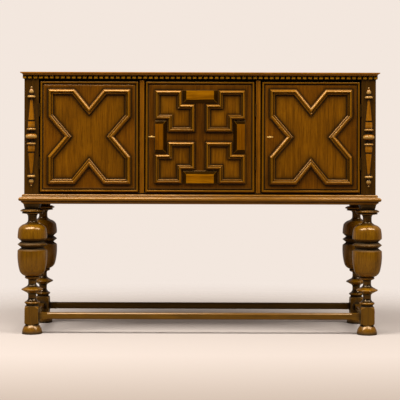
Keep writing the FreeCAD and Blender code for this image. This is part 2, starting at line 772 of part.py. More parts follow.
def leg_path():
    """Half outline of a leg from its foot to the disc under its cap."""
    foot = size("foot_radius")
    foot_neck = size("foot_neck_radius")
    foot_h = size("foot_height")
    ankle = size("ankle_radius")
    collar = size("ankle_collar_radius")
    neck = size("neck_radius")
    flare = 1.47 * neck
    ring = size("ring_radius")
    cup_collar = size("cup_collar_radius")
    bulb = size("bulb_radius")
    groove = size("girdle_groove_radius")
    high_neck = size("high_neck_radius")
    low_disc = size("low_disc_radius")
    high_disc = size("high_disc_radius")

    def level(name, share=0.0):
        """Height of a share of one section of the leg."""
        return size(name + "_z") + share * size(name + "_height")

    return [
        (0, 0),
        (0.97 * foot, 0),
        (foot, 0.05 * foot_h),
        (foot_neck + 0.68 * (foot - foot_neck), 0.62 * foot_h, foot_neck, foot_h),
        (ankle, level("ankle")),
        (1.06 * ankle, level("ankle", 0.16), 0.94 * collar, level("ankle", 0.34)),
        (collar, level("ankle", 0.47), 0.93 * collar, level("ankle", 0.62)),
        (1.3 * neck, level("ankle", 0.83), 1.03 * neck, level("low_neck", 0.12)),
        (neck, level("low_neck", 0.3)),
        (neck, level("low_neck", 0.68)),
        (1.12 * neck, level("low_neck", 0.94), flare, level("ring", 0.1)),
        (0.97 * ring, level("ring", 0.42)),
        (ring, level("ring", 0.5), 0.97 * ring, level("ring", 0.58)),
        (flare, level("ring", 0.9)),
        (1.14 * neck, level("cup_neck", 0.07), neck, level("cup_neck", 0.32)),
        (neck, level("cup_neck", 0.7)),
        (1.07 * neck, level("cup_neck", 0.88), 1.4 * neck, level("cup_neck", 0.98)),
        (0.93 * cup_collar, level("cup_collar", 0.14)),
        (cup_collar, level("cup_collar", 0.5), 0.9 * cup_collar, level("cup")),
        (0.755 * bulb, level("cup", 0.1), 0.885 * bulb, level("cup", 0.243)),
        (0.979 * bulb, level("cup", 0.527), bulb, level("girdle")),
        (groove, level("girdle", 0.23)),
        (0.99 * bulb, level("girdle", 0.465)),
        (bulb, level("girdle", 0.485), 0.99 * bulb, level("girdle", 0.505)),
        (groove, level("girdle", 0.73)),
        (bulb, level("cover")),
        (0.994 * bulb, level("cover", 0.232), 0.942 * bulb, level("cover", 0.565)),
        (0.82 * bulb, level("cover", 0.714), 0.552 * bulb, level("cover", 0.849)),
        (0.406 * bulb, level("cover", 0.927), 0.325 * bulb, level("high_neck")),
        (1.03 * high_neck, level("high_neck", 0.12), high_neck, level("high_neck", 0.27)),
        (high_neck, level("high_neck", 0.6)),
        (1.08 * high_neck, level("high_neck", 0.82), 1.3 * high_neck, level("high_neck", 0.98)),
        (0.955 * low_disc, level("low_disc", 0.25)),
        (low_disc, level("low_disc", 0.5), 0.955 * low_disc, level("low_disc", 0.8)),
        (0.9 * low_disc, level("high_disc")),
        (0.94 * high_disc, level("high_disc", 0.2)),
        (high_disc, level("high_disc", 0.43), 0.955 * high_disc, level("high_disc", 0.66)),
        (0.8 * high_disc, size("cap_z")),
        (0, size("cap_z")),
    ]


def shoulder_path():
    """Half outline that rounds the corners of the square block off above and below."""
    clear = 0.72 * size("block_width")
    low = size("block_z")
    high = size("ankle_z")
    low_round = low + size("block_low_shoulder")
    high_round = high - size("block_high_shoulder")
    foot_neck = size("foot_neck_radius")
    ankle = size("ankle_radius")
    return [
        (0, low),
        (foot_neck, low),
        (foot_neck + 0.7 * (clear - foot_neck), 0.6 * low + 0.4 * low_round, clear, low_round),
        (clear, high_round),
        (ankle + 0.7 * (clear - ankle), 0.6 * high + 0.4 * high_round, ankle, high),
        (0, high),
    ]


def leg(label, side, row):
    """One cup-and-cover leg with its square block, cap, tenon and two mortises."""
    spindle = turned(label + "_spindle", leg_path())
    half = "block_width / 2"
    square = ("-(%s)" % half, half)
    cube = box(label + "_cube", square, square, ("block_z", "ankle_z"))
    block = doc.addObject("Part::Common", label + "_block")
    block.Base = cube
    block.Tool = turned(label + "_shoulders", shoulder_path())
    cap = doc.addObject("Part::Wedge", label + "_cap")
    for end, width in (("", "cap_foot_width / 2"), ("2", "cap_head_width / 2")):
        for axis in "XZ":
            cap.setExpression("%s%smin" % (axis, end), owned("-(%s)" % width))
            cap.setExpression("%s%smax" % (axis, end), owned(width))
    cap.Ymin = 0
    cap.setExpression("Ymax", owned("cap_height"))
    cap.Placement.Rotation = FreeCAD.Rotation(FreeCAD.Vector(1, 0, 0), 90)
    cap.setExpression("Placement.Base.z", owned("cap_z"))
    tenon = upright_cylinder(label + "_tenon", "tenon_radius", "tenon_height", ("0", "0", "carcass_z"))
    whole = fuse(label + "_whole", [spindle, block, cap, tenon])
    tall_half = "(stretcher_tenon_height / 2 + joint_clearance)"
    tall = ("stretcher_mid_z - " + tall_half, "stretcher_mid_z + " + tall_half)
    thin = "stretcher_tenon_depth / 2 + joint_clearance"
    slim = ("-(%s)" % thin, thin)
    depth = ("block_width / 2 - stretcher_tenon_length - joint_clearance", half)
    mortises = [
        box(label + "_mortise_side", span(*depth, -side), slim, tall),
        box(label + "_mortise_end", slim, span(*depth, 1 if row == "front" else -1), tall),
    ]
    item = cut(label, whole, mortises)
    item.setExpression("Placement.Base.x", owned("%d * leg_x" % side))
    item.setExpression("Placement.Base.y", owned("leg_%s_y" % ("front" if row == "front" else "back")))
    keep(item, label)


def legs():
    """Four legs."""
    for row in ("front", "rear"):
        for hand, side in (("left", -1), ("right", 1)):
            leg("leg_%s_%s" % (row, hand), side, row)


def stretcher(label, along_x, low, high, mid):
    """One tenoned stretcher with stopped chamfers; low and high are the faces it runs between."""
    def oriented(run, cross):
        """Order a run and a cross range for the axis that the stretcher lies on."""
        return (run, cross) if along_x else (cross, run)

    deep = ("%s - stretcher_depth / 2" % mid, "%s + stretcher_depth / 2" % mid)
    tall = ("stretcher_mid_z - stretcher_height / 2", "stretcher_mid_z + stretcher_height / 2")
    bar = box(label + "_bar", *oriented((low, high), deep), tall)
    slim = ("%s - stretcher_tenon_depth / 2" % mid, "%s + stretcher_tenon_depth / 2" % mid)
    short = ("stretcher_mid_z - stretcher_tenon_height / 2", "stretcher_mid_z + stretcher_tenon_height / 2")
    reach = ("%s - stretcher_tenon_length" % low, "%s + stretcher_tenon_length" % high)
    tenons = box(label + "_tenons", *oriented(reach, slim), short)
    whole = fuse(label + "_whole", [bar, tenons])
    turn = FreeCAD.Rotation(FreeCAD.Vector(*((1, 0, 0) if along_x else (0, 1, 0))), 45)
    cutters = []
    for index, (edge, level) in enumerate([(a, b) for a in deep for b in tall]):
        start = "%s + chamfer_stop" % low
        stop = "%s - chamfer_stop" % high
        side = "stretcher_chamfer * sqrt(2)"
        if along_x:
            corner = ("%s" % start, edge, "%s - stretcher_chamfer" % level)
        else:
            corner = ("%s - stretcher_chamfer" % edge, start, level)
        cutter = doc.addObject("Part::Box", "%s_chamfer_%d" % (label, index))
        run = "(%s) - (%s)" % (stop, start)
        cutter.setExpression("Length", owned(run if along_x else side))
        cutter.setExpression("Width", owned(side if along_x else run))
        cutter.setExpression("Height", owned(side))
        cutter.Placement.Rotation = turn
        for axis, formula in zip("xyz", corner):
            cutter.setExpression("Placement.Base." + axis, owned(formula))
        cutters.append(cutter)
    keep(cut(label, whole, cutters), label)


def stretchers():
    """Box stretcher round the four leg blocks."""
    half = "block_width / 2"
    for row, mid in (("front", "leg_front_y"), ("rear", "leg_back_y")):
        stretcher("stretcher_" + row, True, "%s - leg_x" % half, "leg_x - %s" % half, mid)
    for hand, mid in (("left", "-leg_x"), ("right", "leg_x")):
        stretcher("stretcher_" + hand, False, "leg_front_y + %s" % half, "leg_back_y - %s" % half, mid)


# Doors

BOLECTION = [
    (0, 0), (0, 0.14), (-0.15, 0.68, -0.46, 1), (-0.525, 0.955, -0.56, 0.82),
    (-0.62, 0.55, -0.74, 0.42), (-0.845, 0.58, -0.95, 0.4), (-1, 0.28), (-1, 0),
]
EDGE_BEAD = [(0, 0), (0, 0.62), (-0.5, 1, -1, 0.62), (-1, 0)]
DOORS = {
    "left": ("-side_door_outer", "-side_door_inner"),
    "middle": ("-middle_half", "middle_half"),
    "right": ("side_door_inner", "side_door_outer"),
}
LOCKED_DOORS = {"middle": "-middle_half", "right": "side_door_inner"}


def door_board(door, low, high):
    """Door board with a rebate for its bead and, where it locks, a recess and a keyhole."""
    label = "door_%s_board" % door
    back = box(
        label + "_back",
        (low, high),
        ("front_y + rebate_depth", "door_back_y"),
        ("door_z", "door_top_z"),
    )
    rim = "(bead_width + bead_channel)"
    face = box(
        label + "_face",
        ("%s + %s" % (low, rim), "%s - %s" % (high, rim)),
        ("front_y", "front_y + rebate_depth"),
        ("door_z + " + rim, "door_top_z - " + rim),
    )
    board = fuse(label if door not in LOCKED_DOORS else label + "_plain", [back, face])
    if door in LOCKED_DOORS:
        backset = "lock_backset_" + door
        recess = box(
            label + "_recess",
            (low, "%s + %s + lock_tail" % (low, backset)),
            ("lock_y", "door_back_y"),
            ("lock_foot_z", "lock_head_z"),
        )
        place = ("%s + %s" % (low, backset), "front_y", "door_mid_z")
        keyhole = cross_cylinder(label + "_keyhole", "key_shank_radius + key_play", "door_thickness", place)
        board = cut(label, board, [recess, keyhole])
    keep(board, label)


def door_bead(door, mid):
    """Four mitred lengths of bead in the rebate round a door."""
    half = size("side_door_width") / 2 if door != "middle" else size("middle_half")
    tall = size("door_height") / 2
    outline = [(-half, -tall), (half, -tall), (half, tall), (-half, tall)]
    profile = section(scaled(EDGE_BEAD, size("bead_width"), size("rebate_depth") + size("bead_proud")))
    place = FreeCAD.Vector(mid, size("front_y") + size("rebate_depth"), size("door_mid_z"))
    label = "door_%s_bead" % door
    keep(shape_object(label, Part.Compound(mitred_sticks(outline, profile)), place, door_face()), label)


def cross_outline():
    """Outer edge of the crossed moulding on a side door, about the door's middle."""
    wide = size("side_door_width") / 2 - size("cross_margin")
    tall = size("door_height") / 2 - size("cross_margin")
    top = size("vee_top_half")
    side = size("vee_side_half")
    top_tip = tall - size("vee_top_depth")
    side_tip = wide - size("vee_side_depth")
    upper = [(wide, side), (wide, tall), (top, tall), (0, top_tip)]
    outline = upper + [(-x, z) for x, z in reversed(upper[:-1])]
    outline.append((-side_tip, 0))
    outline += [(-x, -z) for x, z in upper]
    outline += [(x, -z) for x, z in reversed(upper[:-1])]
    outline.append((side_tip, 0))
    return outline


def frame_outlines():
    """Outer edges of the four stepped frames on the middle door, about its middle."""
    far_x = size("middle_half") - size("frame_margin_side")
    near_x = size("bar_upright") / 2
    far_z = size("door_height") / 2 - size("frame_margin_end")
    near_z = size("bar_level") / 2
    step_x = size("frame_notch_width")
    step_top = size("frame_notch_top")
    step_side = size("frame_notch_side")
    quarter = [
        (far_x, far_z), (near_x + step_x, far_z), (near_x + step_x, far_z - step_top),
        (near_x, far_z - step_top), (near_x, near_z), (far_x - step_x, near_z),
        (far_x - step_x, near_z + step_side), (far_x, near_z + step_side),
    ]
    outlines = []
    for flip_x in (1, -1):
        for flip_z in (1, -1):
            outline = [(flip_x * x, flip_z * z) for x, z in quarter]
            outlines.append(outline if flip_x * flip_z > 0 else outline[::-1])
    return outlines


def door_moulding(door, mid):
    """Applied mouldings of a door, stick by mitred stick."""
    if door == "middle":
        outlines = frame_outlines()
        profile = section(scaled(BOLECTION, size("frame_width"), size("frame_height")))
    else:
        outlines = [cross_outline()]
        profile = section(scaled(BOLECTION, size("cross_width"), size("cross_height")))
    sticks = []
    for outline in outlines:
        sticks += mitred_sticks(outline, profile)
    place = FreeCAD.Vector(mid, size("front_y"), size("door_mid_z"))
    label = "door_%s_moulding" % door
    keep(shape_object(label, Part.Compound(sticks), place, door_face()), label)


def tablets():
    """Four bevelled tablets at the ends of the middle door's cross."""
    far_x = "(middle_half - frame_margin_side)"
    far_z = "(door_height / 2 - frame_margin_end)"
    wide = "(bar_upright / 2 + frame_notch_width - tablet_play)"
    near_z = "(%s - frame_notch_top + tablet_play)" % far_z
    tall = "(bar_level / 2 + frame_notch_side - tablet_play)"
    near_x = "(%s - frame_notch_width + tablet_play)" % far_x
    blocks = []
    for name, side, upright in (("top", 1, 0), ("bottom", -1, 0), ("right", 1, 1), ("left", -1, 1)):
        half, near, far = (tall, near_x, far_x) if upright else (wide, near_z, far_z)
        block = doc.addObject("Part::Wedge", "tablet_" + name)
        long_axis, short_axis = ("Z", "X") if upright else ("X", "Z")
        for end, bevel in (("", " - tablet_bevel"), ("2", "")):
            block.setExpression("%s%smin" % (long_axis, end), owned("-(%s%s)" % (half, bevel)))
            block.setExpression("%s%smax" % (long_axis, end), owned("%s%s" % (half, bevel)))
            inner = near if end else "%s + tablet_bevel" % near
            low, high = span(inner, far, side)
            block.setExpression("%s%smin" % (short_axis, end), owned(low))
            block.setExpression("%s%smax" % (short_axis, end), owned(high))
        block.setExpression("Ymin", owned("-tablet_height"))
        block.Ymax = 0
        block.setExpression("Placement.Base.y", owned("front_y"))
        block.setExpression("Placement.Base.z", owned("door_mid_z"))
        blocks.append(block)
    keep(group("door_middle_tablets", blocks), "door_middle_tablets")


def doors():
    """Boards, beads and mouldings of the three doors."""
    for door, (low, high) in DOORS.items():
        door_board(door, low, high)
        mid = {"left": -1, "middle": 0, "right": 1}[door] * size("side_door_mid")
        door_bead(door, mid)
        door_moulding(door, mid)
    tablets()


# Hinges

HINGES = {
    "left": ("side_door_outer", -1, 1),
    "middle": ("middle_half", 1, -1),
    "right": ("side_door_outer", 1, -1),
}


def hinge_leaf(side, knuckles):
    """One leaf with its knuckles, about the pin at the origin; side says which way it lies."""
    thick = size("leaf_thickness")
    half_gap = size("door_gap") / 2
    start = half_gap - thick if side > 0 else -half_gap
    setback = size("leaf_setback")
    length = size("hinge_length")
    leaf = Part.makeBox(thick, size("leaf_width"), length, FreeCAD.Vector(start, setback, 0))
    for low, high in knuckles:
        foot = FreeCAD.Vector(0, 0, low)
        barrel = Part.makeCylinder(size("knuckle_radius"), high - low, foot)
        tongue = Part.makeBox(thick, setback, high - low, FreeCAD.Vector(start, 0, low))
        leaf = leaf.fuse([barrel, tongue])
    bore = Part.makeCylinder(size("pin_radius") + size("pin_play"), length)
    return leaf.cut(bore).removeSplitter().Solids[0]


def hinge_pin():
    """Pin with a small head at each end."""
    head = size("pin_head_height")
    length = size("hinge_length")
    pin = Part.makeCylinder(size("pin_radius"), length)
    low = Part.makeCylinder(size("pin_head_radius"), head, FreeCAD.Vector(0, 0, -head))
    high = Part.makeCylinder(size("pin_head_radius"), head, FreeCAD.Vector(0, 0, length))
    return pin.fuse([low, high]).removeSplitter().Solids[0]


def hinges():
    """Two butt hinges a door: leaves on the case, leaves on each door, and pins."""
    length = size("hinge_length")
    third = length / 3
    play = size("knuckle_play") / 2
    outer = [(0, third - play), (2 * third + play, length)]
    inner = [(third + play, 2 * third - play)]
    case_leaves = []
    pins = []
    for door, (edge, hand, side) in HINGES.items():
        axis_x = hand * (size(edge) + size("door_gap") / 2)
        door_leaves = []
        for foot in (size("door_z") + size("hinge_inset"), size("door_top_z") - size("hinge_inset") - length):
            place = FreeCAD.Vector(axis_x, size("hinge_y"), foot)
            case_leaves.append(hinge_leaf(-side, outer).translated(place))
            door_leaves.append(hinge_leaf(side, inner).translated(place))
            pins.append(hinge_pin().translated(place))
        label = "hinge_leaves_%s_door" % door
        keep(shape_object(label, Part.Compound(door_leaves)), label)
    keep(shape_object("hinge_leaves_case", Part.Compound(case_leaves)), "hinge_leaves_case")
    keep(shape_object("hinge_pins", Part.Compound(pins)), "hinge_pins")


# Locks, keys and the latch

def lock(door, edge):
    """Lock case let into a door's back, and its bolt, drawn back."""
    end = "%s + lock_backset_%s + lock_tail - lock_play" % (edge, door)
    deep = ("lock_y + lock_play", "door_back_y")
    tall = ("lock_foot_z + lock_play", "lock_head_z - lock_play")
    label = "lock_case_" + door
    shell = box(label + "_shell", (edge, end), deep, tall)
    inside = [(low + " + lock_wall", high + " - lock_wall") for low, high in ((edge, end), deep, tall)]
    hollow = box(label + "_hollow", *inside)
    slot_deep = ("lock_bolt_y - bolt_play", "lock_bolt_y + bolt_thickness + bolt_play")
    slot_tall = ("lock_bolt_z - bolt_play", "lock_bolt_z + bolt_height + bolt_play")
    slot = box(label + "_slot", (edge, "%s + 2 * lock_wall" % edge), slot_deep, slot_tall)
    place = ("%s + lock_backset_%s" % (edge, door), "lock_y", "door_mid_z")
    keyhole = cross_cylinder(label + "_keyhole", "key_shank_radius + key_play", "2 * lock_wall", place)
    keep(cut(label, shell, [hollow, slot, keyhole]), label)
    bolt = box(
        "bolt_" + door,
        ("%s + bolt_play" % edge, "%s - lock_wall - mortise_play" % end),
        ("lock_bolt_y", "lock_bolt_y + bolt_thickness"),
        ("lock_bolt_z", "lock_bolt_z + bolt_height"),
    )
    keep(bolt, "bolt_" + door)


def oval(wide, long_way, middle, thick):
    """Flat oval plate lying level about a middle point."""
    across = FreeCAD.Vector(wide / 2, 0, 0)
    along = FreeCAD.Vector(0, long_way / 2, 0)
    major, minor = (across, along) if wide >= long_way else (along, across)
    curve = Part.Ellipse(middle + major, middle + minor, middle)
    plate = Part.Face(Part.Wire([curve.toShape()])).extrude(FreeCAD.Vector(0, 0, thick))
    return plate.translated(FreeCAD.Vector(0, 0, -thick / 2))


def key(door, edge_x):
    """Key in its lock: a level oval bow, a collar, a shank and a bit that lies towards the hinges."""
    reach = size("key_reach")
    bow_long = size("key_bow_length")
    rim = size("key_bow_rim")
    middle = FreeCAD.Vector(0, bow_long / 2 - reach, 0)
    bow = oval(size("key_bow_width"), bow_long, middle, size("key_bow_thickness"))
    eye = oval(size("key_bow_width") - 2 * rim, bow_long - 2 * rim, middle, 2 * size("key_bow_thickness"))
    back = FreeCAD.Vector(0, 1, 0)
    neck_y = bow_long - reach
    collar_foot = FreeCAD.Vector(0, neck_y - rim / 4, 0)
    collar = Part.makeCylinder(size("key_collar_radius"), size("key_collar_length"), collar_foot, back)
    bit_y = size("lock_y") - size("front_y") + (size("lock_depth") - size("key_bit_length")) / 2
    shank_foot = FreeCAD.Vector(0, neck_y - rim / 2, 0)
    bit_end = bit_y + size("key_bit_length")
    shank = Part.makeCylinder(size("key_shank_radius"), bit_end - shank_foot.y, shank_foot, back)
    thick = size("key_bit_thickness")
    bit = Part.makeBox(
        size("key_bit_reach"),
        size("key_bit_length"),
        thick,
        FreeCAD.Vector(0, bit_y, -thick / 2),
    )
    whole = bow.cut(eye).fuse([collar, shank, bit]).removeSplitter().Solids[0]
    place = FreeCAD.Vector(edge_x + size("lock_backset_" + door), size("front_y"), size("door_mid_z"))
    keep(shape_object("key_" + door, whole, place), "key_" + door)


def latch():
    """Sliding latch on the back of the left door: a guide plate with two straps, and its bolt."""
    edge = "-side_door_inner"
    plate_end = "%s - latch_edge" % edge
    plate_start = "%s - latch_plate_length" % plate_end
    plate = box(
        "latch_plate",
        (plate_start, plate_end),
        ("door_back_y", "door_back_y + latch_plate_thickness"),
        ("door_mid_z - latch_plate_height / 2", "door_mid_z + latch_plate_height / 2"),
    )
    top_y = "latch_bolt_y + bolt_thickness + bolt_play"
    wrap = "(bolt_play + latch_plate_thickness)"
    strap_tall = ("latch_bolt_z - " + wrap, "latch_bolt_z + bolt_height + " + wrap)
    strap_deep = ("door_back_y", top_y + " + latch_plate_thickness")
    first = box("latch_strap_first", (plate_start, plate_start + " + latch_strap"), strap_deep, strap_tall)
    last = box("latch_strap_last", (plate_end + " - latch_strap", plate_end), strap_deep, strap_tall)
    whole = fuse("latch_guide_whole", [plate, first, last])
    path = box(
        "latch_path",
        (plate_start, plate_end),
        ("latch_bolt_y - bolt_play", top_y),
        ("latch_bolt_z - bolt_play", "latch_bolt_z + bolt_height + bolt_play"),
    )
    keep(cut("latch_guide", whole, [path]), "latch_guide")
    tip = "%s - mortise_play" % edge
    bar = box(
        "latch_bar",
        ("%s - latch_bolt_length" % tip, tip),
        ("latch_bolt_y", "latch_bolt_y + bolt_thickness"),
        ("latch_bolt_z", "latch_bolt_z + bolt_height"),
    )
    knob_x = "%s + latch_strap + mortise_play + latch_knob_radius" % plate_start
    place = (knob_x, "latch_bolt_y + bolt_thickness / 2", "door_mid_z")
    knob = cross_cylinder("latch_knob", "latch_knob_radius", "bolt_thickness / 2 + latch_knob_length", place)
    keep(fuse("latch_bolt", [bar, knob]), "latch_bolt")


def locks():
    """Two locks with their keys, and the latch of the third door."""
    for door, edge in LOCKED_DOORS.items():
        lock(door, edge)
        edge_x = -size("middle_half") if door == "middle" else size("side_door_inner")
        key(door, edge_x)
    latch()


def check():
    """Stop if any object failed or any sub-part is missing or faulty."""
    doc.recompute()
    for item in doc.Objects:
        if "Invalid" in item.State or "Error" in item.State:
            raise RuntimeError("failed object: " + item.Name)
    for label, item in nodes.items():
        if item.Shape.isNull() or not item.Shape.isValid() or not item.Shape.Solids:
            raise RuntimeError("faulty sub-part: " + label)


def main():
    """Build the cabinet, check it and write one file per sub-part."""
    corner_posts()
    case_rails()
    case_panels()
    case_floor()
    muntins_and_partition()
    shelves()
    top_board()
    frieze()
    base_moulding()
    balusters()
    legs()
    stretchers()
    doors()
    hinges()
    locks()
    check()
    os.makedirs("parts", exist_ok=True)
    for label, item in nodes.items():
        item.Shape.exportStep("parts/%s.step" % label)
        print("%s: %d solids, %.1f cm3" % (label, len(item.Shape.Solids), item.Shape.Volume / 1000))


main()
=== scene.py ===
"""Looks of the oak hall cabinet: finishes, softened edges, screws and a plain studio round its CAD frame."""

import json
import logging
import math
from collections.abc import Iterable, Sequence
from dataclasses import dataclass
from enum import Enum

import bmesh
import bpy
from bmesh.types import BMesh, BMVert
from bpy.types import Material, Node, NodeSocket, NodeTree, Object
from mathutils import Matrix, Vector
from mathutils.bvhtree import BVHTree


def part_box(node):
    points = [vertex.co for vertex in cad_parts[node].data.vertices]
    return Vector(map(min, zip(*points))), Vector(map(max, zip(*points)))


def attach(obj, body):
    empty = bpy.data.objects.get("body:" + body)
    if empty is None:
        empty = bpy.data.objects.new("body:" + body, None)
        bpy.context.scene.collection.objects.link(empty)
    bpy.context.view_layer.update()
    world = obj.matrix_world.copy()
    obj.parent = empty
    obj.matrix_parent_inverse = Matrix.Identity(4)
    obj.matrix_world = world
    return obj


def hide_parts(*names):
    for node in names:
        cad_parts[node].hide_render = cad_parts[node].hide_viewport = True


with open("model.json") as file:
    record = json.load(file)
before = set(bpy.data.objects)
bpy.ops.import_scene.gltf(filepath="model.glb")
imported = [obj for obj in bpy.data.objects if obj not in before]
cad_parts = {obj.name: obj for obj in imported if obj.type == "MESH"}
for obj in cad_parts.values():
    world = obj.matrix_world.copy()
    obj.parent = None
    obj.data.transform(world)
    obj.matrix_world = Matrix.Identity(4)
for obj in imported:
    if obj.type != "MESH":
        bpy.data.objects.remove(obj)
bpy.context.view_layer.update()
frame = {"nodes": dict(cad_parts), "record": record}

LOG = logging.getLogger("hall_cabinet")
X, Y, Z = range(3)
MM = 0.001
WELD_DISTANCE = 0.01 * MM
FLAT_DEGREES = 0.4
ROUND_PROFILE = 0.5
LARGE_FACES_ONLY = 100
# A face looks straight along an axis when its normal's share of that axis is above this.
SQUARE_ON = 0.99
# Fibres lie too close to the depth axis to be crossed with it above this share.
NEARLY_DEEP = 0.9
# Names of the attributes that the finishes and the screws read
GRAIN = "grain"
WORN = "worn"
SHADE = "shade"
# The patina attribute holds old wax together with painted shade and painted shadows.
PATINA_AND_SHADE = "patina_and_shade"
FACING = "facing"


def linear(hex_colour: str) -> tuple[float, float, float, float]:
    """Turn an sRGB hex colour into linear red, green, blue and alpha.

    Args:
        hex_colour: Six hex digits after a hash sign.

    Returns:
        The four linear channels, with alpha at one.
    """
    channels = [int(hex_colour[place:place + 2], 16) / 255 for place in (1, 3, 5)]
    red, green, blue = [c / 12.92 if c <= 0.04045 else ((c + 0.055) / 1.055) ** 2.4 for c in channels]
    return red, green, blue, 1.0


def add(tree: NodeTree, kind: str, links: dict | None = None, **settings: object) -> Node:
    """Add a node with its settings, socket values and links.

    Args:
        tree: The node tree that gets the node.
        kind: Blender's name of the node's type.
        links: Sockets by name or number, each with a value, or with the socket that feeds it, or with the
            node whose first output in use feeds it.
        settings: Properties of the node itself.

    Returns:
        The new node.
    """
    node = tree.nodes.new(kind)
    for name, value in settings.items():
        setattr(node, name, value)
    for socket, value in (links or {}).items():
        if isinstance(value, Node):
            value = next(output for output in value.outputs if output.enabled)
        if isinstance(value, NodeSocket):
            tree.links.new(value, node.inputs[socket])
        else:
            node.inputs[socket].default_value = value
    return node


def new_material(name: str) -> tuple[Material, NodeTree]:
    """Make a node material that has no nodes yet.

    Args:
        name: The material's name.

    Returns:
        The material and its tree.
    """
    material = bpy.data.materials.new(name)
    material.use_nodes = True
    material.node_tree.nodes.clear()
    return material, material.node_tree


def placed(name: str, data: bpy.types.ID) -> Object:
    """Make an object and put it in the scene.

    Args:
        name: The object's name.
        data: What it shows: a mesh, a lamp or a camera.

    Returns:
        The new object.
    """
    thing = bpy.data.objects.new(name, data)
    bpy.context.scene.collection.objects.link(thing)
    return thing


def extent(verts: Iterable[BMVert], axis: int) -> tuple[float, float]:
    """Return the least and the greatest place of some points along an axis."""
    places = [vert.co[axis] for vert in verts]
    return min(places), max(places)


class Grain(Enum):
    """Which way the fibres of a wooden piece run."""

    ACROSS = Vector((1, 0, 0))
    DEEP = Vector((0, 1, 0))
    UPRIGHT = Vector((0, 0, 1))
    LENGTHWISE = "the longest side of each solid"
    STICKS = "each mitred stick's own length"


# Finishes


@dataclass(frozen=True)
class Finish:
    """A surface that pieces share. Its material is made at its first use."""

    name: str

    def material(self) -> Material:
        """Return the finish's material."""
        return bpy.data.materials.get(self.name) or self.make()

    def make(self) -> Material:
        """Build the material's nodes, as each kind of finish does in its own way."""
        raise NotImplementedError


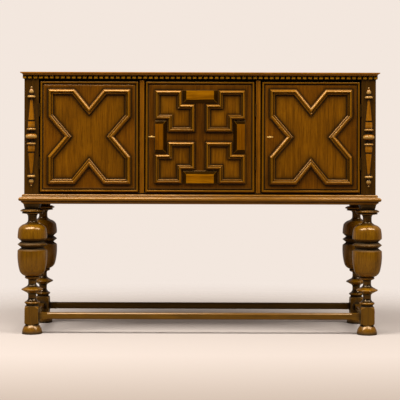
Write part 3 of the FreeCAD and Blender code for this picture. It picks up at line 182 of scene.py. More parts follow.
@dataclass(frozen=True)
class StainedOak(Finish):
    """Oak, planed or turned, stained brown and waxed: satin gloss, dark pores, and dark wax with painted
    shade in the recesses.

    Widths and reaches are in millimetres. The pores are drawn coarser than real ones, so that they show.
    """

    ground: str
    light: str
    dark: str
    # The recess colour serves both old wax and painted shade.
    recess: str = "#0c0600"
    worn: str = "#a86f10"
    shaded: str = "#ebe3d6"
    polish: str = "#ffdcb2"
    roughness: float = 0.22
    wax_roughness: float = 0.52
    gloss: float = 1.0
    tone_stops: tuple[float, float, float] = (0.3, 0.5, 0.72)
    figure_width: float = 22.0
    line_width: float = 3.4
    line_share: float = 0.58
    pore_width: float = 1.1
    pore_range: tuple[float, float] = (0.56, 0.68)
    pore_share: float = 0.5
    cloud_width: float = 110.0
    cloud_range: tuple[float, float] = (0.3, 0.7)
    cloud_levels: tuple[float, float] = (0.84, 1.14)
    length_ratio: float = 26.0
    recess_reach: float = 24.0
    recess_share: float = 0.95
    recess_none: float = 0.98
    recess_full: float = 0.42
    recess_samples: int = 12
    worn_share: float = 0.35
    patina_and_shade_share: float = 0.95
    relief: float = 0.06
    relief_strength: float = 0.5

    def streaks(self, tree: NodeTree, width: float, detail: float, warp: float) -> Node:
        """Add streaks that run along the grain.

        Args:
            tree: The material's tree.
            width: Width of one streak across the grain, in millimetres.
            detail: How many finer layers the streaks have.
            warp: How far the streaks wander.

        Returns:
            The node that gives a value from 0 to 1.
        """
        grain = add(tree, "ShaderNodeAttribute", attribute_name=GRAIN).outputs["Vector"]
        across = 1 / (width * MM)
        along = across / self.length_ratio
        place = add(tree, "ShaderNodeMapping", {"Vector": grain, "Scale": (along, across, across)})
        noise = {"Vector": place, "Scale": 1.0, "Detail": detail, "Distortion": warp}
        return add(tree, "ShaderNodeTexNoise", noise)

    def colour(self, tree: NodeTree) -> tuple[Node, Node]:
        """Add the stain's colour and the height of its pores.

        Args:
            tree: The material's tree.

        Returns:
            The node of the colour and the node of a height from 0 to 1.
        """
        figure = self.streaks(tree, self.figure_width, detail=2.0, warp=0.5)
        lines = self.streaks(tree, self.line_width, detail=3.0, warp=0.2)
        pores = self.streaks(tree, self.pore_width, detail=1.0, warp=0.0)
        blend = {"Factor": self.line_share, "A": figure, "B": lines}
        ramp = add(tree, "ShaderNodeValToRGB", {"Fac": add(tree, "ShaderNodeMix", blend, data_type="FLOAT")})
        stops = ramp.color_ramp.elements
        first, middle, last = self.tone_stops
        stops[0].position, stops[0].color = first, linear(self.dark)
        stops[1].position, stops[1].color = last, linear(self.light)
        stops.new(middle).color = linear(self.ground)
        low, high = self.pore_range
        depth = {"Value": pores, "From Min": low, "From Max": high, "To Max": self.pore_share}
        pore = add(tree, "ShaderNodeMapRange", depth)
        porous = {"Factor": pore, "A": ramp, "B": linear(self.dark)}
        stained = add(tree, "ShaderNodeMix", porous, data_type="RGBA")
        height = add(tree, "ShaderNodeMath", {0: lines, 1: pore}, operation="SUBTRACT")
        return self.cloud(tree, stained), height

    def cloud(self, tree: NodeTree, stained: Node) -> Node:
        """Let the stain lie unevenly, in broad soft patches.

        Args:
            tree: The material's tree.
            stained: The node of the stain's colour.

        Returns:
            The node of the colour with lighter and darker patches.
        """
        place = add(tree, "ShaderNodeTexCoord").outputs["Object"]
        noise = {"Vector": place, "Scale": 1 / (self.cloud_width * MM), "Detail": 2.0}
        patches = add(tree, "ShaderNodeTexNoise", noise)
        low, high = self.cloud_range
        darker, lighter = self.cloud_levels
        levels = {"Value": patches, "From Min": low, "From Max": high, "To Min": darker, "To Max": lighter}
        level = add(tree, "ShaderNodeMapRange", levels)
        return add(tree, "ShaderNodeVectorMath", {0: stained, "Scale": level}, operation="SCALE")

    def aged(self, tree: NodeTree, stained: Node) -> Node:
        """Darken the stain where it was laid on heavier, and where the patina marks ask: old wax and painted
        shade.

        Args:
            tree: The material's tree.
            stained: The node of the stain's colour.

        Returns:
            The node of the darkened colour.
        """
        shade = add(tree, "ShaderNodeAttribute", attribute_name=SHADE).outputs["Fac"]
        stain = {"Factor": shade, "A": stained, "B": linear(self.shaded)}
        heavier = add(tree, "ShaderNodeMix", stain, data_type="RGBA", blend_type="MULTIPLY")
        # Painted shade: the patina marks darken the colour towards the recess colour.
        patina_and_shade = add(tree, "ShaderNodeAttribute", attribute_name=PATINA_AND_SHADE).outputs["Fac"]
        share = add(tree, "ShaderNodeMath", {0: patina_and_shade, 1: self.patina_and_shade_share}, operation="MULTIPLY")
        wax_and_shade = {"Factor": share, "A": heavier, "B": linear(self.recess)}
        return add(tree, "ShaderNodeMix", wax_and_shade, data_type="RGBA")

    def recesses(self, tree: NodeTree) -> Node:
        """Add a share from 0 to 1 that grows in recesses, for dark wax and painted shade.

        Args:
            tree: The material's tree.

        Returns:
            The node of that share.
        """
        reach = {"Distance": self.recess_reach * MM}
        open_sky = add(tree, "ShaderNodeAmbientOcclusion", reach, samples=self.recess_samples).outputs["AO"]
        levels = {
            "Value": open_sky,
            "From Min": self.recess_none,
            "From Max": self.recess_full,
            "To Max": self.recess_share,
        }
        return add(tree, "ShaderNodeMapRange", levels, interpolation_type="SMOOTHSTEP")

    def make(self) -> Material:
        """Build the material's nodes.

        Returns:
            The new material.
        """
        material, tree = new_material(self.name)
        stained, height = self.colour(tree)
        recess = self.recesses(tree)
        worn = add(tree, "ShaderNodeAttribute", attribute_name=WORN).outputs["Fac"]
        rubbed = add(tree, "ShaderNodeMath", {0: worn, 1: self.worn_share}, operation="MULTIPLY")
        rubbing = {"Factor": rubbed, "A": self.aged(tree, stained), "B": linear(self.worn)}
        edge = add(tree, "ShaderNodeMix", rubbing, data_type="RGBA")
        # Painted shade: where ambient occlusion finds a recess, the colour goes to the recess colour, as old
        # wax and shade.
        wax_and_shade = {"Factor": recess, "A": edge, "B": linear(self.recess)}
        dulling = {"Value": recess, "To Min": self.roughness, "To Max": self.wax_roughness}
        pitting = {"Height": height, "Strength": self.relief_strength, "Distance": self.relief * MM}
        surface = {
            "Base Color": add(tree, "ShaderNodeMix", wax_and_shade, data_type="RGBA"),
            "Roughness": add(tree, "ShaderNodeMapRange", dulling),
            "Normal": add(tree, "ShaderNodeBump", pitting),
            "Specular IOR Level": self.gloss,
            "Specular Tint": linear(self.polish),
        }
        wood = add(tree, "ShaderNodeBsdfPrincipled", surface)
        add(tree, "ShaderNodeOutputMaterial", {"Surface": wood})
        return material


@dataclass(frozen=True)
class WornMetal(Finish):
    """Cast or rolled metal gone dull: tarnished in random patches, darker in its corners, faint scratches.

    Widths, depths and reaches are in millimetres.
    """

    bright: str
    tarnish: str
    roughness: float
    dulling: float = 0.25
    patch_width: float = 9.0
    patch_range: tuple[float, float] = (0.45, 0.75)
    patch_share: float = 0.45
    dirt_reach: float = 4.0
    dirt_range: tuple[float, float] = (0.85, 0.4)
    dirt_share: float = 0.8
    dirt_samples: int = 8
    scratch_width: float = 0.5
    scratch_depth: float = 0.02
    scratch_strength: float = 0.15

    def make(self) -> Material:
        """Build the material's nodes.

        Returns:
            The new material.
        """
        material, tree = new_material(self.name)
        place = add(tree, "ShaderNodeTexCoord").outputs["Object"]
        broad = {"Vector": place, "Scale": 1 / (self.patch_width * MM), "Detail": 3.0}
        fine = {"Vector": place, "Scale": 1 / (self.scratch_width * MM), "Detail": 1.0}
        patches = add(tree, "ShaderNodeTexNoise", broad)
        scratches = add(tree, "ShaderNodeTexNoise", fine)
        reach = {"Distance": self.dirt_reach * MM}
        open_sky = add(tree, "ShaderNodeAmbientOcclusion", reach, samples=self.dirt_samples).outputs["AO"]
        low, high = self.dirt_range
        corners = {"Value": open_sky, "From Min": low, "From Max": high, "To Max": self.dirt_share}
        dirt = add(tree, "ShaderNodeMapRange", corners)
        low, high = self.patch_range
        stains = {"Value": patches, "From Min": low, "From Max": high, "To Max": self.patch_share}
        stain = add(tree, "ShaderNodeMapRange", stains)
        share = add(tree, "ShaderNodeMath", {0: dirt, 1: stain}, operation="MAXIMUM")
        tarnished = {"Factor": share, "A": linear(self.bright), "B": linear(self.tarnish)}
        dull = {"Value": share, "To Min": self.roughness, "To Max": self.roughness + self.dulling}
        grooves = {
            "Height": scratches,
            "Strength": self.scratch_strength,
            "Distance": self.scratch_depth * MM,
        }
        surface = {
            "Base Color": add(tree, "ShaderNodeMix", tarnished, data_type="RGBA"),
            "Metallic": 1.0,
            "Roughness": add(tree, "ShaderNodeMapRange", dull),
            "Normal": add(tree, "ShaderNodeBump", grooves),
        }
        metal = add(tree, "ShaderNodeBsdfPrincipled", surface)
        add(tree, "ShaderNodeOutputMaterial", {"Surface": metal})
        return material


# Planed and moulded oak, warm brown, each part as dark as the years have left it; the post, rail, top and
# rear stretcher finishes also carry painted shade or painted light
CASE_OAK = StainedOak("stained_oak_case", "#784702", "#8c5804", "#4a2900")
# The posts are stained dark, and this dark colour is partly painted shade from the split balusters planted on
# them.
SHADED_POST_OAK = StainedOak("stained_and_shaded_oak_posts", "#422803", "#523306", "#281602", worn="#6c430a")
# Painted shade: the top rail's front is nearly black, to stand for the shadow under the frieze and the top.
SHADED_RAIL_OAK = StainedOak("painted_shade_oak_rail", "#0f0801", "#140b02", "#0a0501", worn="#180e02", gloss=0.15)
FIELD_OAK = StainedOak("stained_oak_fields", "#6f4201", "#855503", "#462800", recess_reach=8.0)
FRAME_OAK = StainedOak(
    "stained_oak_frame_fields", "#724401", "#885804", "#4a2900", shaded="#ccc4aa", recess_reach=8.0
)
TABLET_OAK = StainedOak(
    "stained_oak_tablets",
    "#8a5502",
    "#a06a05",
    "#5c3600",
    shaded="#d4cab8",
    polish="#ffc070",
    gloss=0.35,
    recess_reach=10.0,
)
BEAD_OAK = StainedOak(
    "stained_oak_beads",
    "#663f02",
    "#7a4f05",
    "#402401",
    worn="#8c5c0c",
    polish="#ffb85c",
    gloss=0.5,
    recess_reach=10.0,
    relief=0.02,
)
MOULDING_OAK = StainedOak(
    "stained_oak_mouldings",
    "#764803",
    "#8c5c07",
    "#4a2a01",
    worn="#a06c10",
    polish="#ffcc84",
    recess_reach=6.0,
    relief=0.012,
)
DENTIL_OAK = StainedOak("stained_oak_dentils", "#8c5e07", "#a2700e", "#5c3702", gloss=0.5, recess_reach=11.0)
BASE_OAK = StainedOak("stained_oak_base", "#7d5008", "#92620e", "#543103", recess_reach=12.0)
# Painted light: the top's colour is lighter than the case's, so that its moulded edge, which faces down and
# gets little light, still looks lit; TopBoard darkens the upper face back.
LIGHTENED_TOP_OAK = StainedOak("painted_light_oak_top", "#a4690a", "#b67b12", "#744604", shaded="#b4aa78", recess_reach=12.0)
STRETCHER_OAK = StainedOak("stained_oak_stretchers", "#5a3b06", "#6c4b0a", "#382403")
# Painted shade: the rear stretcher is darker than the others, as it stands in the case's shadow.
SHADED_REAR_OAK = StainedOak(
    "painted_shade_oak_rear_stretcher", "#3c2604", "#4a3208", "#261702", worn="#5c3d0a", gloss=0.5
)
# Turned oak, polished on the crests and dull where wax fills the creases
TURNED_OAK = StainedOak(
    "turned_stained_oak",
    "#764d04",
    "#8a6009",
    "#4c2f04",
    wax_roughness=0.9,
    recess_reach=30.0,
    recess_full=0.6,
    relief=0.02,
)
# The balusters' cream worn colour is wear together with a painted highlight on the crests of their rings.
BALUSTER_OAK = StainedOak(
    "turned_oak_balusters",
    "#8e5702",
    "#a46b07",
    "#663c01",
    worn="#dcb468",
    worn_share=0.45,
    recess_reach=14.0,
    recess_full=0.6,
    relief=0.02,
)
# Planed oak without stain or wax, pale and matt
INNER_OAK = StainedOak(
    "plain_oak_inside",
    "#9a7244",
    "#b58c5c",
    "#6f4c28",
    recess="#3a2614",
    worn="#b58c5c",
    polish="#ffffff",
    roughness=0.6,
    gloss=0.4,
)
# Cast brass kept yellow by hands, rolled brass gone brown, and rolled steel gone grey
BRASS = WornMetal("worn_brass", "#ffe296", "#dca648", 0.75)
AGED_BRASS = WornMetal("aged_brass", "#5c4018", "#1e1408", 0.46)
STEEL = WornMetal("dull_lock_steel", "#8c867c", "#4a443c", 0.4)


# Pieces


@dataclass
class Blank:
    """A CAD node's mesh, merged and with softened edges, ready for a finish.

    Args:
        node: The CAD node that the piece stands for.
        grain: Which way its fibres run.
        arris: Width of the softened edges in millimetres, or 0 for none.
        shortest: Shortest edge that is softened, in millimetres.
        sharp: Angle in degrees above which an edge stays crisp.
        rounds: How many faces each softened edge gets.
    """

    node: str
    grain: Grain = Grain.LENGTHWISE
    arris: float = 0.0
    shortest: float = 0.0
    sharp: float = 32.0
    rounds: int = 2

    def merged(self) -> BMesh:
        """Make the node's flat faces whole, weld its seams and remove faces shut inside it.

        Returns:
            The merged mesh, which the caller frees.
        """
        work = bmesh.new()
        work.from_mesh(frame["nodes"][self.node].data)
        bmesh.ops.dissolve_limit(work, angle_limit=math.radians(FLAT_DEGREES), verts=[], edges=work.edges)
        bmesh.ops.remove_doubles(work, verts=work.verts, dist=WELD_DISTANCE)
        twins: dict[frozenset, list] = {}
        for face in work.faces:
            twins.setdefault(frozenset(vert.index for vert in face.verts), []).append(face)
        shut = [face for faces in twins.values() if len(faces) > 1 for face in faces]
        bmesh.ops.delete(work, geom=shut, context="FACES")
        return work

    def outer_edges(self, work: BMesh) -> list:
        """Find the edges that hands and tools have rounded.

        Args:
            work: The piece's mesh so far.

        Returns:
            Those edges.
        """
        limit = math.radians(self.sharp)
        return [
            edge
            for edge in work.edges
            if edge.is_manifold
            and edge.is_convex
            and edge.calc_face_angle() > limit
            and edge.calc_length() > self.shortest * MM
        ]

    def soften(self, work: BMesh) -> None:
        """Round the outer edges and mark the new faces as worn.

        Args:
            work: The piece's mesh so far.
        """
        if not self.arris:
            return
        worn = work.faces.layers.float.new(WORN)
        rounded = bmesh.ops.bevel(
            work,
            geom=self.outer_edges(work),
            offset=self.arris * MM,
            offset_type="OFFSET",
            segments=self.rounds,
            profile=ROUND_PROFILE,
            affect="EDGES",
            clamp_overlap=True,
        )
        for face in rounded["faces"]:
            face[worn] = 1.0
        bmesh.ops.dissolve_degenerate(work, dist=WELD_DISTANCE, edges=work.edges)

    def refine(self, work: BMesh) -> None:
        """Cut the mesh finer where marks on it need that; a plain piece needs none."""

    def mark(self, work: BMesh) -> None:
        """Store where the finish is worn or dark; a plain piece has no such marks."""

    def islands(self, work: BMesh) -> Iterable[list]:
        """Give the faces of each separate solid in turn.

        Args:
            work: The piece's mesh so far.

        Returns:
            One list of faces for each solid.
        """
        waiting = set(work.faces)
        for seed in list(work.faces):
            if seed not in waiting:
                continue
            waiting.remove(seed)
            found = [seed]
            for face in found:
                for edge in face.edges:
                    fresh = [other for other in edge.link_faces if other in waiting]
                    waiting.difference_update(fresh)
                    found.extend(fresh)
            yield found

    def run_grain(self, work: BMesh) -> None:
        """Store at each corner its place along, across and into the grain, in metres.

        Args:
            work: The piece's mesh so far.
        """
        layer = work.loops.layers.float_vector.new(GRAIN)
        groups = [[face] for face in work.faces] if self.grain is Grain.STICKS else self.islands(work)
        for faces in groups:
            turn = grain_axes(self.direction(faces))
            for face in faces:
                for loop in face.loops:
                    loop[layer] = turn @ loop.vert.co

    def direction(self, faces: Sequence) -> Vector:
        """Find the way that fibres run.

        Args:
            faces: Faces of one solid or of one stick.

        Returns:
            The way, of any length.
        """
        if self.grain is Grain.STICKS:
            edge = max(faces[0].edges, key=lambda item: item.calc_length())
            way = edge.verts[1].co - edge.verts[0].co
            return way if (way.x, way.z) > (0, 0) else -way
        if self.grain is Grain.LENGTHWISE:
            points = [vert for face in faces for vert in face.verts]
            ends = [extent(points, axis) for axis in (X, Y, Z)]
            spans = [high - low for low, high in ends]
            way = Vector((0, 0, 0))
            way[spans.index(max(spans))] = 1
            return way
        return self.grain.value

    def piece(self, name: str, finish: Finish) -> Object:
        """Make the finished piece and let it stand for its node.

        Args:
            name: The piece's name.
            finish: What its surface is made of.

        Returns:
            The new object.
        """
        work = self.merged()
        self.soften(work)
        self.refine(work)
        self.run_grain(work)
        self.mark(work)
        limit = math.radians(self.sharp)
        for face in work.faces:
            face.smooth = True
        for edge in work.edges:
            edge.smooth = edge.is_manifold and edge.calc_face_angle() < limit
        mesh = bpy.data.meshes.new(name)
        work.to_mesh(mesh)
        work.free()
        if "custom_normal" in mesh.attributes:
            mesh.attributes.remove(mesh.attributes["custom_normal"])
        mesh.materials.clear()
        mesh.materials.append(finish.material())
        shown = placed(name, mesh)
        if self.arris:
            steady = shown.modifiers.new("steady_normals", "WEIGHTED_NORMAL")
            steady.weight = LARGE_FACES_ONLY
            steady.keep_sharp = True
        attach(shown, body_of(self.node))
        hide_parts(self.node)
        slot_of(self.node)
        LOG.info("%s stands for %s with %d faces", name, self.node, len(mesh.polygons))
        return shown


@dataclass
class Strip(Blank):
    """Mitred lengths of moulding planted on a flat front, rubbed bright along their crests and darkened below
    with old wax and painted shade.

    Args:
        crest: Share of the height above which the crest is rubbed.
        wax_and_shade: How dark the foot is, with old wax and painted shade.
        cornice_shadow: Width of the painted shadow of the cornice along the top of the whole piece, in
            millimetres.
        left_flank_shade: How dark the painted shade is on flanks that face left.
        leftward: How many times more than up or down such a slope faces left.
    """

    crest: float = 0.8
    wax_and_shade: float = 0.95
    cornice_shadow: float = 0.0
    left_flank_shade: float = 0.0
    leftward: float = 3.0

    def mark(self, work: BMesh) -> None:
        """Store how far each point stands up towards the crest, and how dark it is below, with old wax and
        painted shade.

        Args:
            work: The piece's mesh so far.
        """
        worn = work.loops.layers.float.new(WORN)
        patina_and_shade = work.loops.layers.float.new(PATINA_AND_SHADE)
        front, back = extent(work.verts, Y)
        rim = extent(work.verts, Z)[1] - self.cornice_shadow * MM
        for face in work.faces:
            # Painted shade: flanks that face left, the foot of the moulding, and with cornice_shadow a black
            # rim for the cornice's shadow.
            left = self.left_flank_shade if -face.normal.x > self.leftward * abs(face.normal.z) else 0.0
            for loop in face.loops:
                share = (back - loop.vert.co.y) / (back - front)
                loop[worn] = max(0.0, (share - self.crest) / (1 - self.crest))
                loop[patina_and_shade] = max(left, self.wax_and_shade * max(0.0, 1 - share / self.crest) ** 2)
                if self.cornice_shadow and loop.vert.co.z > rim:
                    loop[worn] = 0.0
                    loop[patina_and_shade] = 1.0


@dataclass
class DoorBoard(Blank):
    """A door's board, stained darker outside its closed mouldings and darkened along them with old wax and
    painted shade.

    Args:
        moulding: The CAD node of the mouldings planted on it.
        step: Width of the cells that its front is cut into, in millimetres.
        reach: How far the darkening spreads inside the mouldings, in millimetres.
        outer_reach: How far it spreads outside them.
        wax_and_shade: How dark it is at their feet, with old wax and a painted contact shadow; above 1 it
            stays black for a little way.
    """

    moulding: str = ""
    step: float = 5.0
    reach: float = 8.0
    outer_reach: float = 6.0
    wax_and_shade: float = 1.5

    def front_faces(self, work: BMesh) -> list:
        """Find the faces of the board's raised front.

        Args:
            work: The piece's mesh so far.

        Returns:
            Those faces.
        """
        front = extent(work.verts, Y)[0] + MM
        ahead = [face for face in work.faces if face.normal.y < -SQUARE_ON]
        return [face for face in ahead if face.calc_center_median().y < front]

    def refine(self, work: BMesh) -> None:
        """Cut the front into small cells.

        Args:
            work: The piece's mesh so far.
        """
        for axis in (X, Z):
            low, high = extent((vert for face in self.front_faces(work) for vert in face.verts), axis)
            normal = Vector((axis == X, 0, axis == Z))
            count = int((high - low) / (self.step * MM))
            for index in range(1, count):
                faces = self.front_faces(work)
                geometry = faces + [edge for face in faces for edge in face.edges]
                geometry += [vert for face in faces for vert in face.verts]
                place = normal * (low + (high - low) * index / count)
                once = list(dict.fromkeys(geometry))
                bmesh.ops.bisect_plane(work, geom=once, plane_co=place, plane_no=normal)

    def mark(self, work: BMesh) -> None:
        """Store the darker stain outside the mouldings, and the old wax and painted shade near them.

        Args:
            work: The piece's mesh so far.
        """
        shade = work.verts.layers.float.new(SHADE)
        patina_and_shade = work.verts.layers.float.new(PATINA_AND_SHADE)
        planted = Blank(self.moulding).merged()
        tree = BVHTree.FromBMesh(planted)
        planted.free()
        faces = set(self.front_faces(work))
        verts = {vert for face in faces for vert in face.verts}
        # A point is open when no moulding covers it: the ray starts behind the front and ends just before it.
        toward = Vector((0, -1, 0))
        hits = {vert: tree.ray_cast(vert.co - toward * MM, toward, 2 * MM)[0] for vert in verts}
        open_verts = {vert for vert in verts if hits[vert] is None}
        reached = [vert for vert in open_verts if any(face not in faces for face in vert.link_faces)]
        seen = set(reached)
        for vert in reached:
            vert[shade] = 1.0
            near = {edge.other_vert(vert) for edge in vert.link_edges} & open_verts
            fresh = near - seen
            seen |= fresh
            reached.extend(fresh)
        # Painted shade: the board darkens towards the mouldings, as old wax and their contact shadow.
        for vert in open_verts:
            reach = self.outer_reach if vert in seen else self.reach
            vert[patina_and_shade] = min(1.0, self.wax_and_shade * math.exp(-tree.find_nearest(vert.co)[3] / (reach * MM)))


@dataclass
class Tablet(Blank):
    """Bevelled tablets, darkened on their slopes with painted shade and old wax; the upright ones are stained
    darker.

    Args:
        wax_and_shade: How dark the slopes are, with painted shade and old wax.
        slope: How far a face has to lean from the front to hold it.
    """

    wax_and_shade: float = 0.98
    slope: float = 0.3

    def mark(self, work: BMesh) -> None:
        """Store painted shade and old wax on every face that does not look forward, and the stain of the
        upright tablets.

        Args:
            work: The piece's mesh so far.
        """
        patina_and_shade = work.faces.layers.float.new(PATINA_AND_SHADE)
        shade = work.faces.layers.float.new(SHADE)
        for faces in self.islands(work):
            upright = abs(self.direction(faces).z)
            for face in faces:
                lean = math.hypot(face.normal.x, face.normal.z)
                # Painted shade: every slope is darkened, whichever way it faces.
                face[patina_and_shade] = self.wax_and_shade if lean > self.slope else 0.0
                face[shade] = upright


@dataclass
class DentilCourse(Blank):
    """A strip with sawn dentils, painted black everywhere but on the lower part of their faces: painted shade
    in the gaps and a painted shadow of the top.

    Args:
        skin: How far below the strip's outer face the painted shade begins, in millimetres.
        overhang_shadow: Height of the painted shadow of the top, in millimetres.
    """

    skin: float = 1.5
    overhang_shadow: float = 6.6

    def overhang_shadow_level(self, work: BMesh) -> float:
        """Return the height above which the top's painted shadow lies."""
        return extent(work.verts, Z)[1] - self.overhang_shadow * MM

    def refine(self, work: BMesh) -> None:
        """Cut every face where the painted shadow begins.

        Args:
            work: The piece's mesh so far.
        """
        place = Vector((0, 0, self.overhang_shadow_level(work)))
        geometry = [*work.verts, *work.edges, *work.faces]
        bmesh.ops.bisect_plane(work, geom=geometry, plane_co=place, plane_no=Vector((0, 0, 1)))

    def mark(self, work: BMesh) -> None:
        """Store painted shade in the band under the top and on the faces that lie deeper than the dentils'
        own.

        Args:
            work: The piece's mesh so far.
        """
        patina_and_shade = work.faces.layers.float.new(PATINA_AND_SHADE)
        level = self.overhang_shadow_level(work)
        axis, side = (X, -1) if "left" in self.node else (X, 1) if "right" in self.node else (Y, -1)
        outer = max(side * vert.co[axis] for vert in work.verts)
        for face in work.faces:
            middle = face.calc_center_median()
            depth = outer - side * middle[axis]
            # Painted shade: black in the gaps and in the top's painted shadow.
            face[patina_and_shade] = 1.0 if depth > self.skin * MM or middle.z > level else 0.0


@dataclass
class TopBoard(Blank):
    """The top, painted light on its moulded edge and stained darker again on its upper face."""

    def mark(self, work: BMesh) -> None:
        """Store the darker stain of the upper face.

        Args:
            work: The piece's mesh so far.
        """
        shade = work.faces.layers.float.new(SHADE)
        for face in work.faces:
            face[shade] = float(face.normal.z > SQUARE_ON)


@dataclass
class Turning(Blank):
    """A turned piece, black in the creases between its members with old wax and painted shade.

    Args:
        crease_radius: Radius of an inner curve that is fully dark, in millimetres.
        crease_degrees: Smallest angle of an inner edge that counts.
    """

    crease_radius: float = 20.0
    crease_degrees: float = 2.0

    def mark(self, work: BMesh) -> None:
        """Store old wax and painted shade along every inner edge, the more the tighter its curve is.

        Args:
            work: The piece's mesh so far.
        """
        patina_and_shade = work.verts.layers.float.new(PATINA_AND_SHADE)
        least = math.radians(self.crease_degrees)
        # Painted shade and old wax: inner edges darken the more tightly they curve.
        for edge in work.edges:
            if not edge.is_manifold or edge.is_convex or edge.calc_face_angle() < least:
                continue
            area = sum(face.calc_area() for face in edge.link_faces)
            spread = area / (2 * max(edge.calc_length(), WELD_DISTANCE))
            radius = max(spread / edge.calc_face_angle(), WELD_DISTANCE)
            for vert in edge.verts:
                vert[patina_and_shade] = max(vert[patina_and_shade], min(1.0, self.crease_radius * MM / radius))


@dataclass
class SplitBaluster(Turning):
    """Half a turning planted on a post, rubbed and given a painted highlight on its rings, and black in its
    hollows with old wax and painted shade.

    Args:
        reach: How far up and down a ring or a hollow is compared with its neighbours, in millimetres.
        shaded_hollow_depth: Depth of a hollow that is fully dark with old wax and painted shade.
        rubbed_and_highlight_height: Height of a ring that is fully rubbed and given its painted highlight.
    """

    reach: float = 12.0
    shaded_hollow_depth: float = 4.0
    rubbed_and_highlight_height: float = 3.0

    def mark(self, work: BMesh) -> None:
        """Store old wax and painted shade in the creases and hollows, and the rubbed crests of the rings with
        their painted highlight.

        Args:
            work: The piece's mesh so far.
        """
        super().mark(work)
        worn = work.verts.layers.float.new(WORN)
        patina_and_shade = work.verts.layers.float[PATINA_AND_SHADE]
        reliefs = self.reliefs(work)
        for vert in work.verts:
            depth, height = reliefs[self.level(vert)]
            # Painted shade in the hollows; the worn mark on the ring crests is also a painted highlight.
            vert[patina_and_shade] = max(vert[patina_and_shade], min(1.0, depth / (self.shaded_hollow_depth * MM)))
            vert[worn] = min(1.0, height / (self.rubbed_and_highlight_height * MM))

    def level(self, vert: BMVert) -> float:
        """Return a point's height, rounded to a tenth of a millimetre."""
        return round(vert.co.z, 4)

    def reliefs(self, work: BMesh) -> dict[float, tuple[float, float]]:
        """Compare each level's width with those over and under it.

        Args:
            work: The piece's mesh so far.

        Returns:
            How far each level lies below its neighbours and how far it stands above them.
        """
        middle = sum(extent(work.verts, X)) / 2
        back = extent(work.verts, Y)[1]
        widths: dict[float, float] = {}
        for vert in work.verts:
            width = math.hypot(vert.co.x - middle, vert.co.y - back)
            widths[self.level(vert)] = max(width, widths.get(self.level(vert), 0.0))
        reach = self.reach * MM
        found = {}
        for level, width in widths.items():
            above = [other for place, other in widths.items() if 0 <= place - level <= reach]
            below = [other for place, other in widths.items() if 0 <= level - place <= reach]
            found[level] = (min(max(above), max(below)) - width, width - max(min(above), min(below)))
        return found


@dataclass
class Leg(Turning):
    """A turned leg with square blocks, darker than the turned lengths; the block under the base moulding is
    darkest, as a painted shadow of the moulding.

    Args:
        block_darkening: How dark the lower block is.
        cap_shadow: How dark the painted shadow of the base moulding is on the block under it.
        smallest: Area of the smallest face that counts as a block's side, in square millimetres.
        steepest: How far such a side may look up or down.
    """

    block_darkening: float = 0.5
    cap_shadow: float = 0.7
    smallest: float = 400.0
    steepest: float = 0.5

    def mark(self, work: BMesh) -> None:
        """Store old wax and painted shade in the creases, and the darker flat sides of both blocks, the upper
        one as painted shadow.

        Args:
            work: The piece's mesh so far.
        """
        super().mark(work)
        patina_and_shade = work.verts.layers.float[PATINA_AND_SHADE]
        middle = sum(vert.co.z for vert in work.verts) / len(work.verts)
        for face in work.faces:
            if face.calc_area() > self.smallest * MM * MM and abs(face.normal.z) < self.steepest:
                # The upper block gets the painted shadow of the base moulding; the lower block is only
                # darker.
                wax_and_shade = self.cap_shadow if face.calc_center_median().z > middle else self.block_darkening
                for vert in face.verts:
                    vert[patina_and_shade] = max(vert[patina_and_shade], wax_and_shade)


@dataclass
class Key(Blank):
    """A cast key, whose bow is round in section.

    Args:
        bow: Length of the bow from its front, in millimetres.
    """

    bow: float = 20.0

    def outer_edges(self, work: BMesh) -> list:
        """Return the edges of the bow alone."""
        end = extent(work.verts, Y)[0] + self.bow * MM
        return [edge for edge in super().outer_edges(work) if all(vert.co.y < end for vert in edge.verts)]


def grain_axes(along: Vector) -> Matrix:
    """Make the turn from a place to its distances along, across and into the grain.

    Args:
        along: The way that the fibres run.

    Returns:
        The turn.
    """
    first = along.normalized()
    helper = Vector((0, 1, 0)) if abs(first.y) < NEARLY_DEEP else Vector((1, 0, 0))
    second = first.cross(helper).normalized()
    return Matrix((first, second, first.cross(second)))


def body_of(node: str) -> str:
    """Return the body that a CAD node rides on."""
    bodies = frame["record"]["behaviour"]["bodies"]
    return next(body for body, members in bodies.items() if node in members)


def slot_of(node: str) -> str:
    """Return the record's material slot of a CAD node."""
    return next(row["material_slot"] for row in frame["record"]["subparts"] if row["node"] == node)


# Sub-assemblies

SIDES = ("left", "right")
CORNERS = ("front_left", "front_right", "rear_left", "rear_right")
HINGE_LEAVES = ("hinge_leaves_case", *("hinge_leaves_%s_door" % door for door in ("left", "middle", "right")))


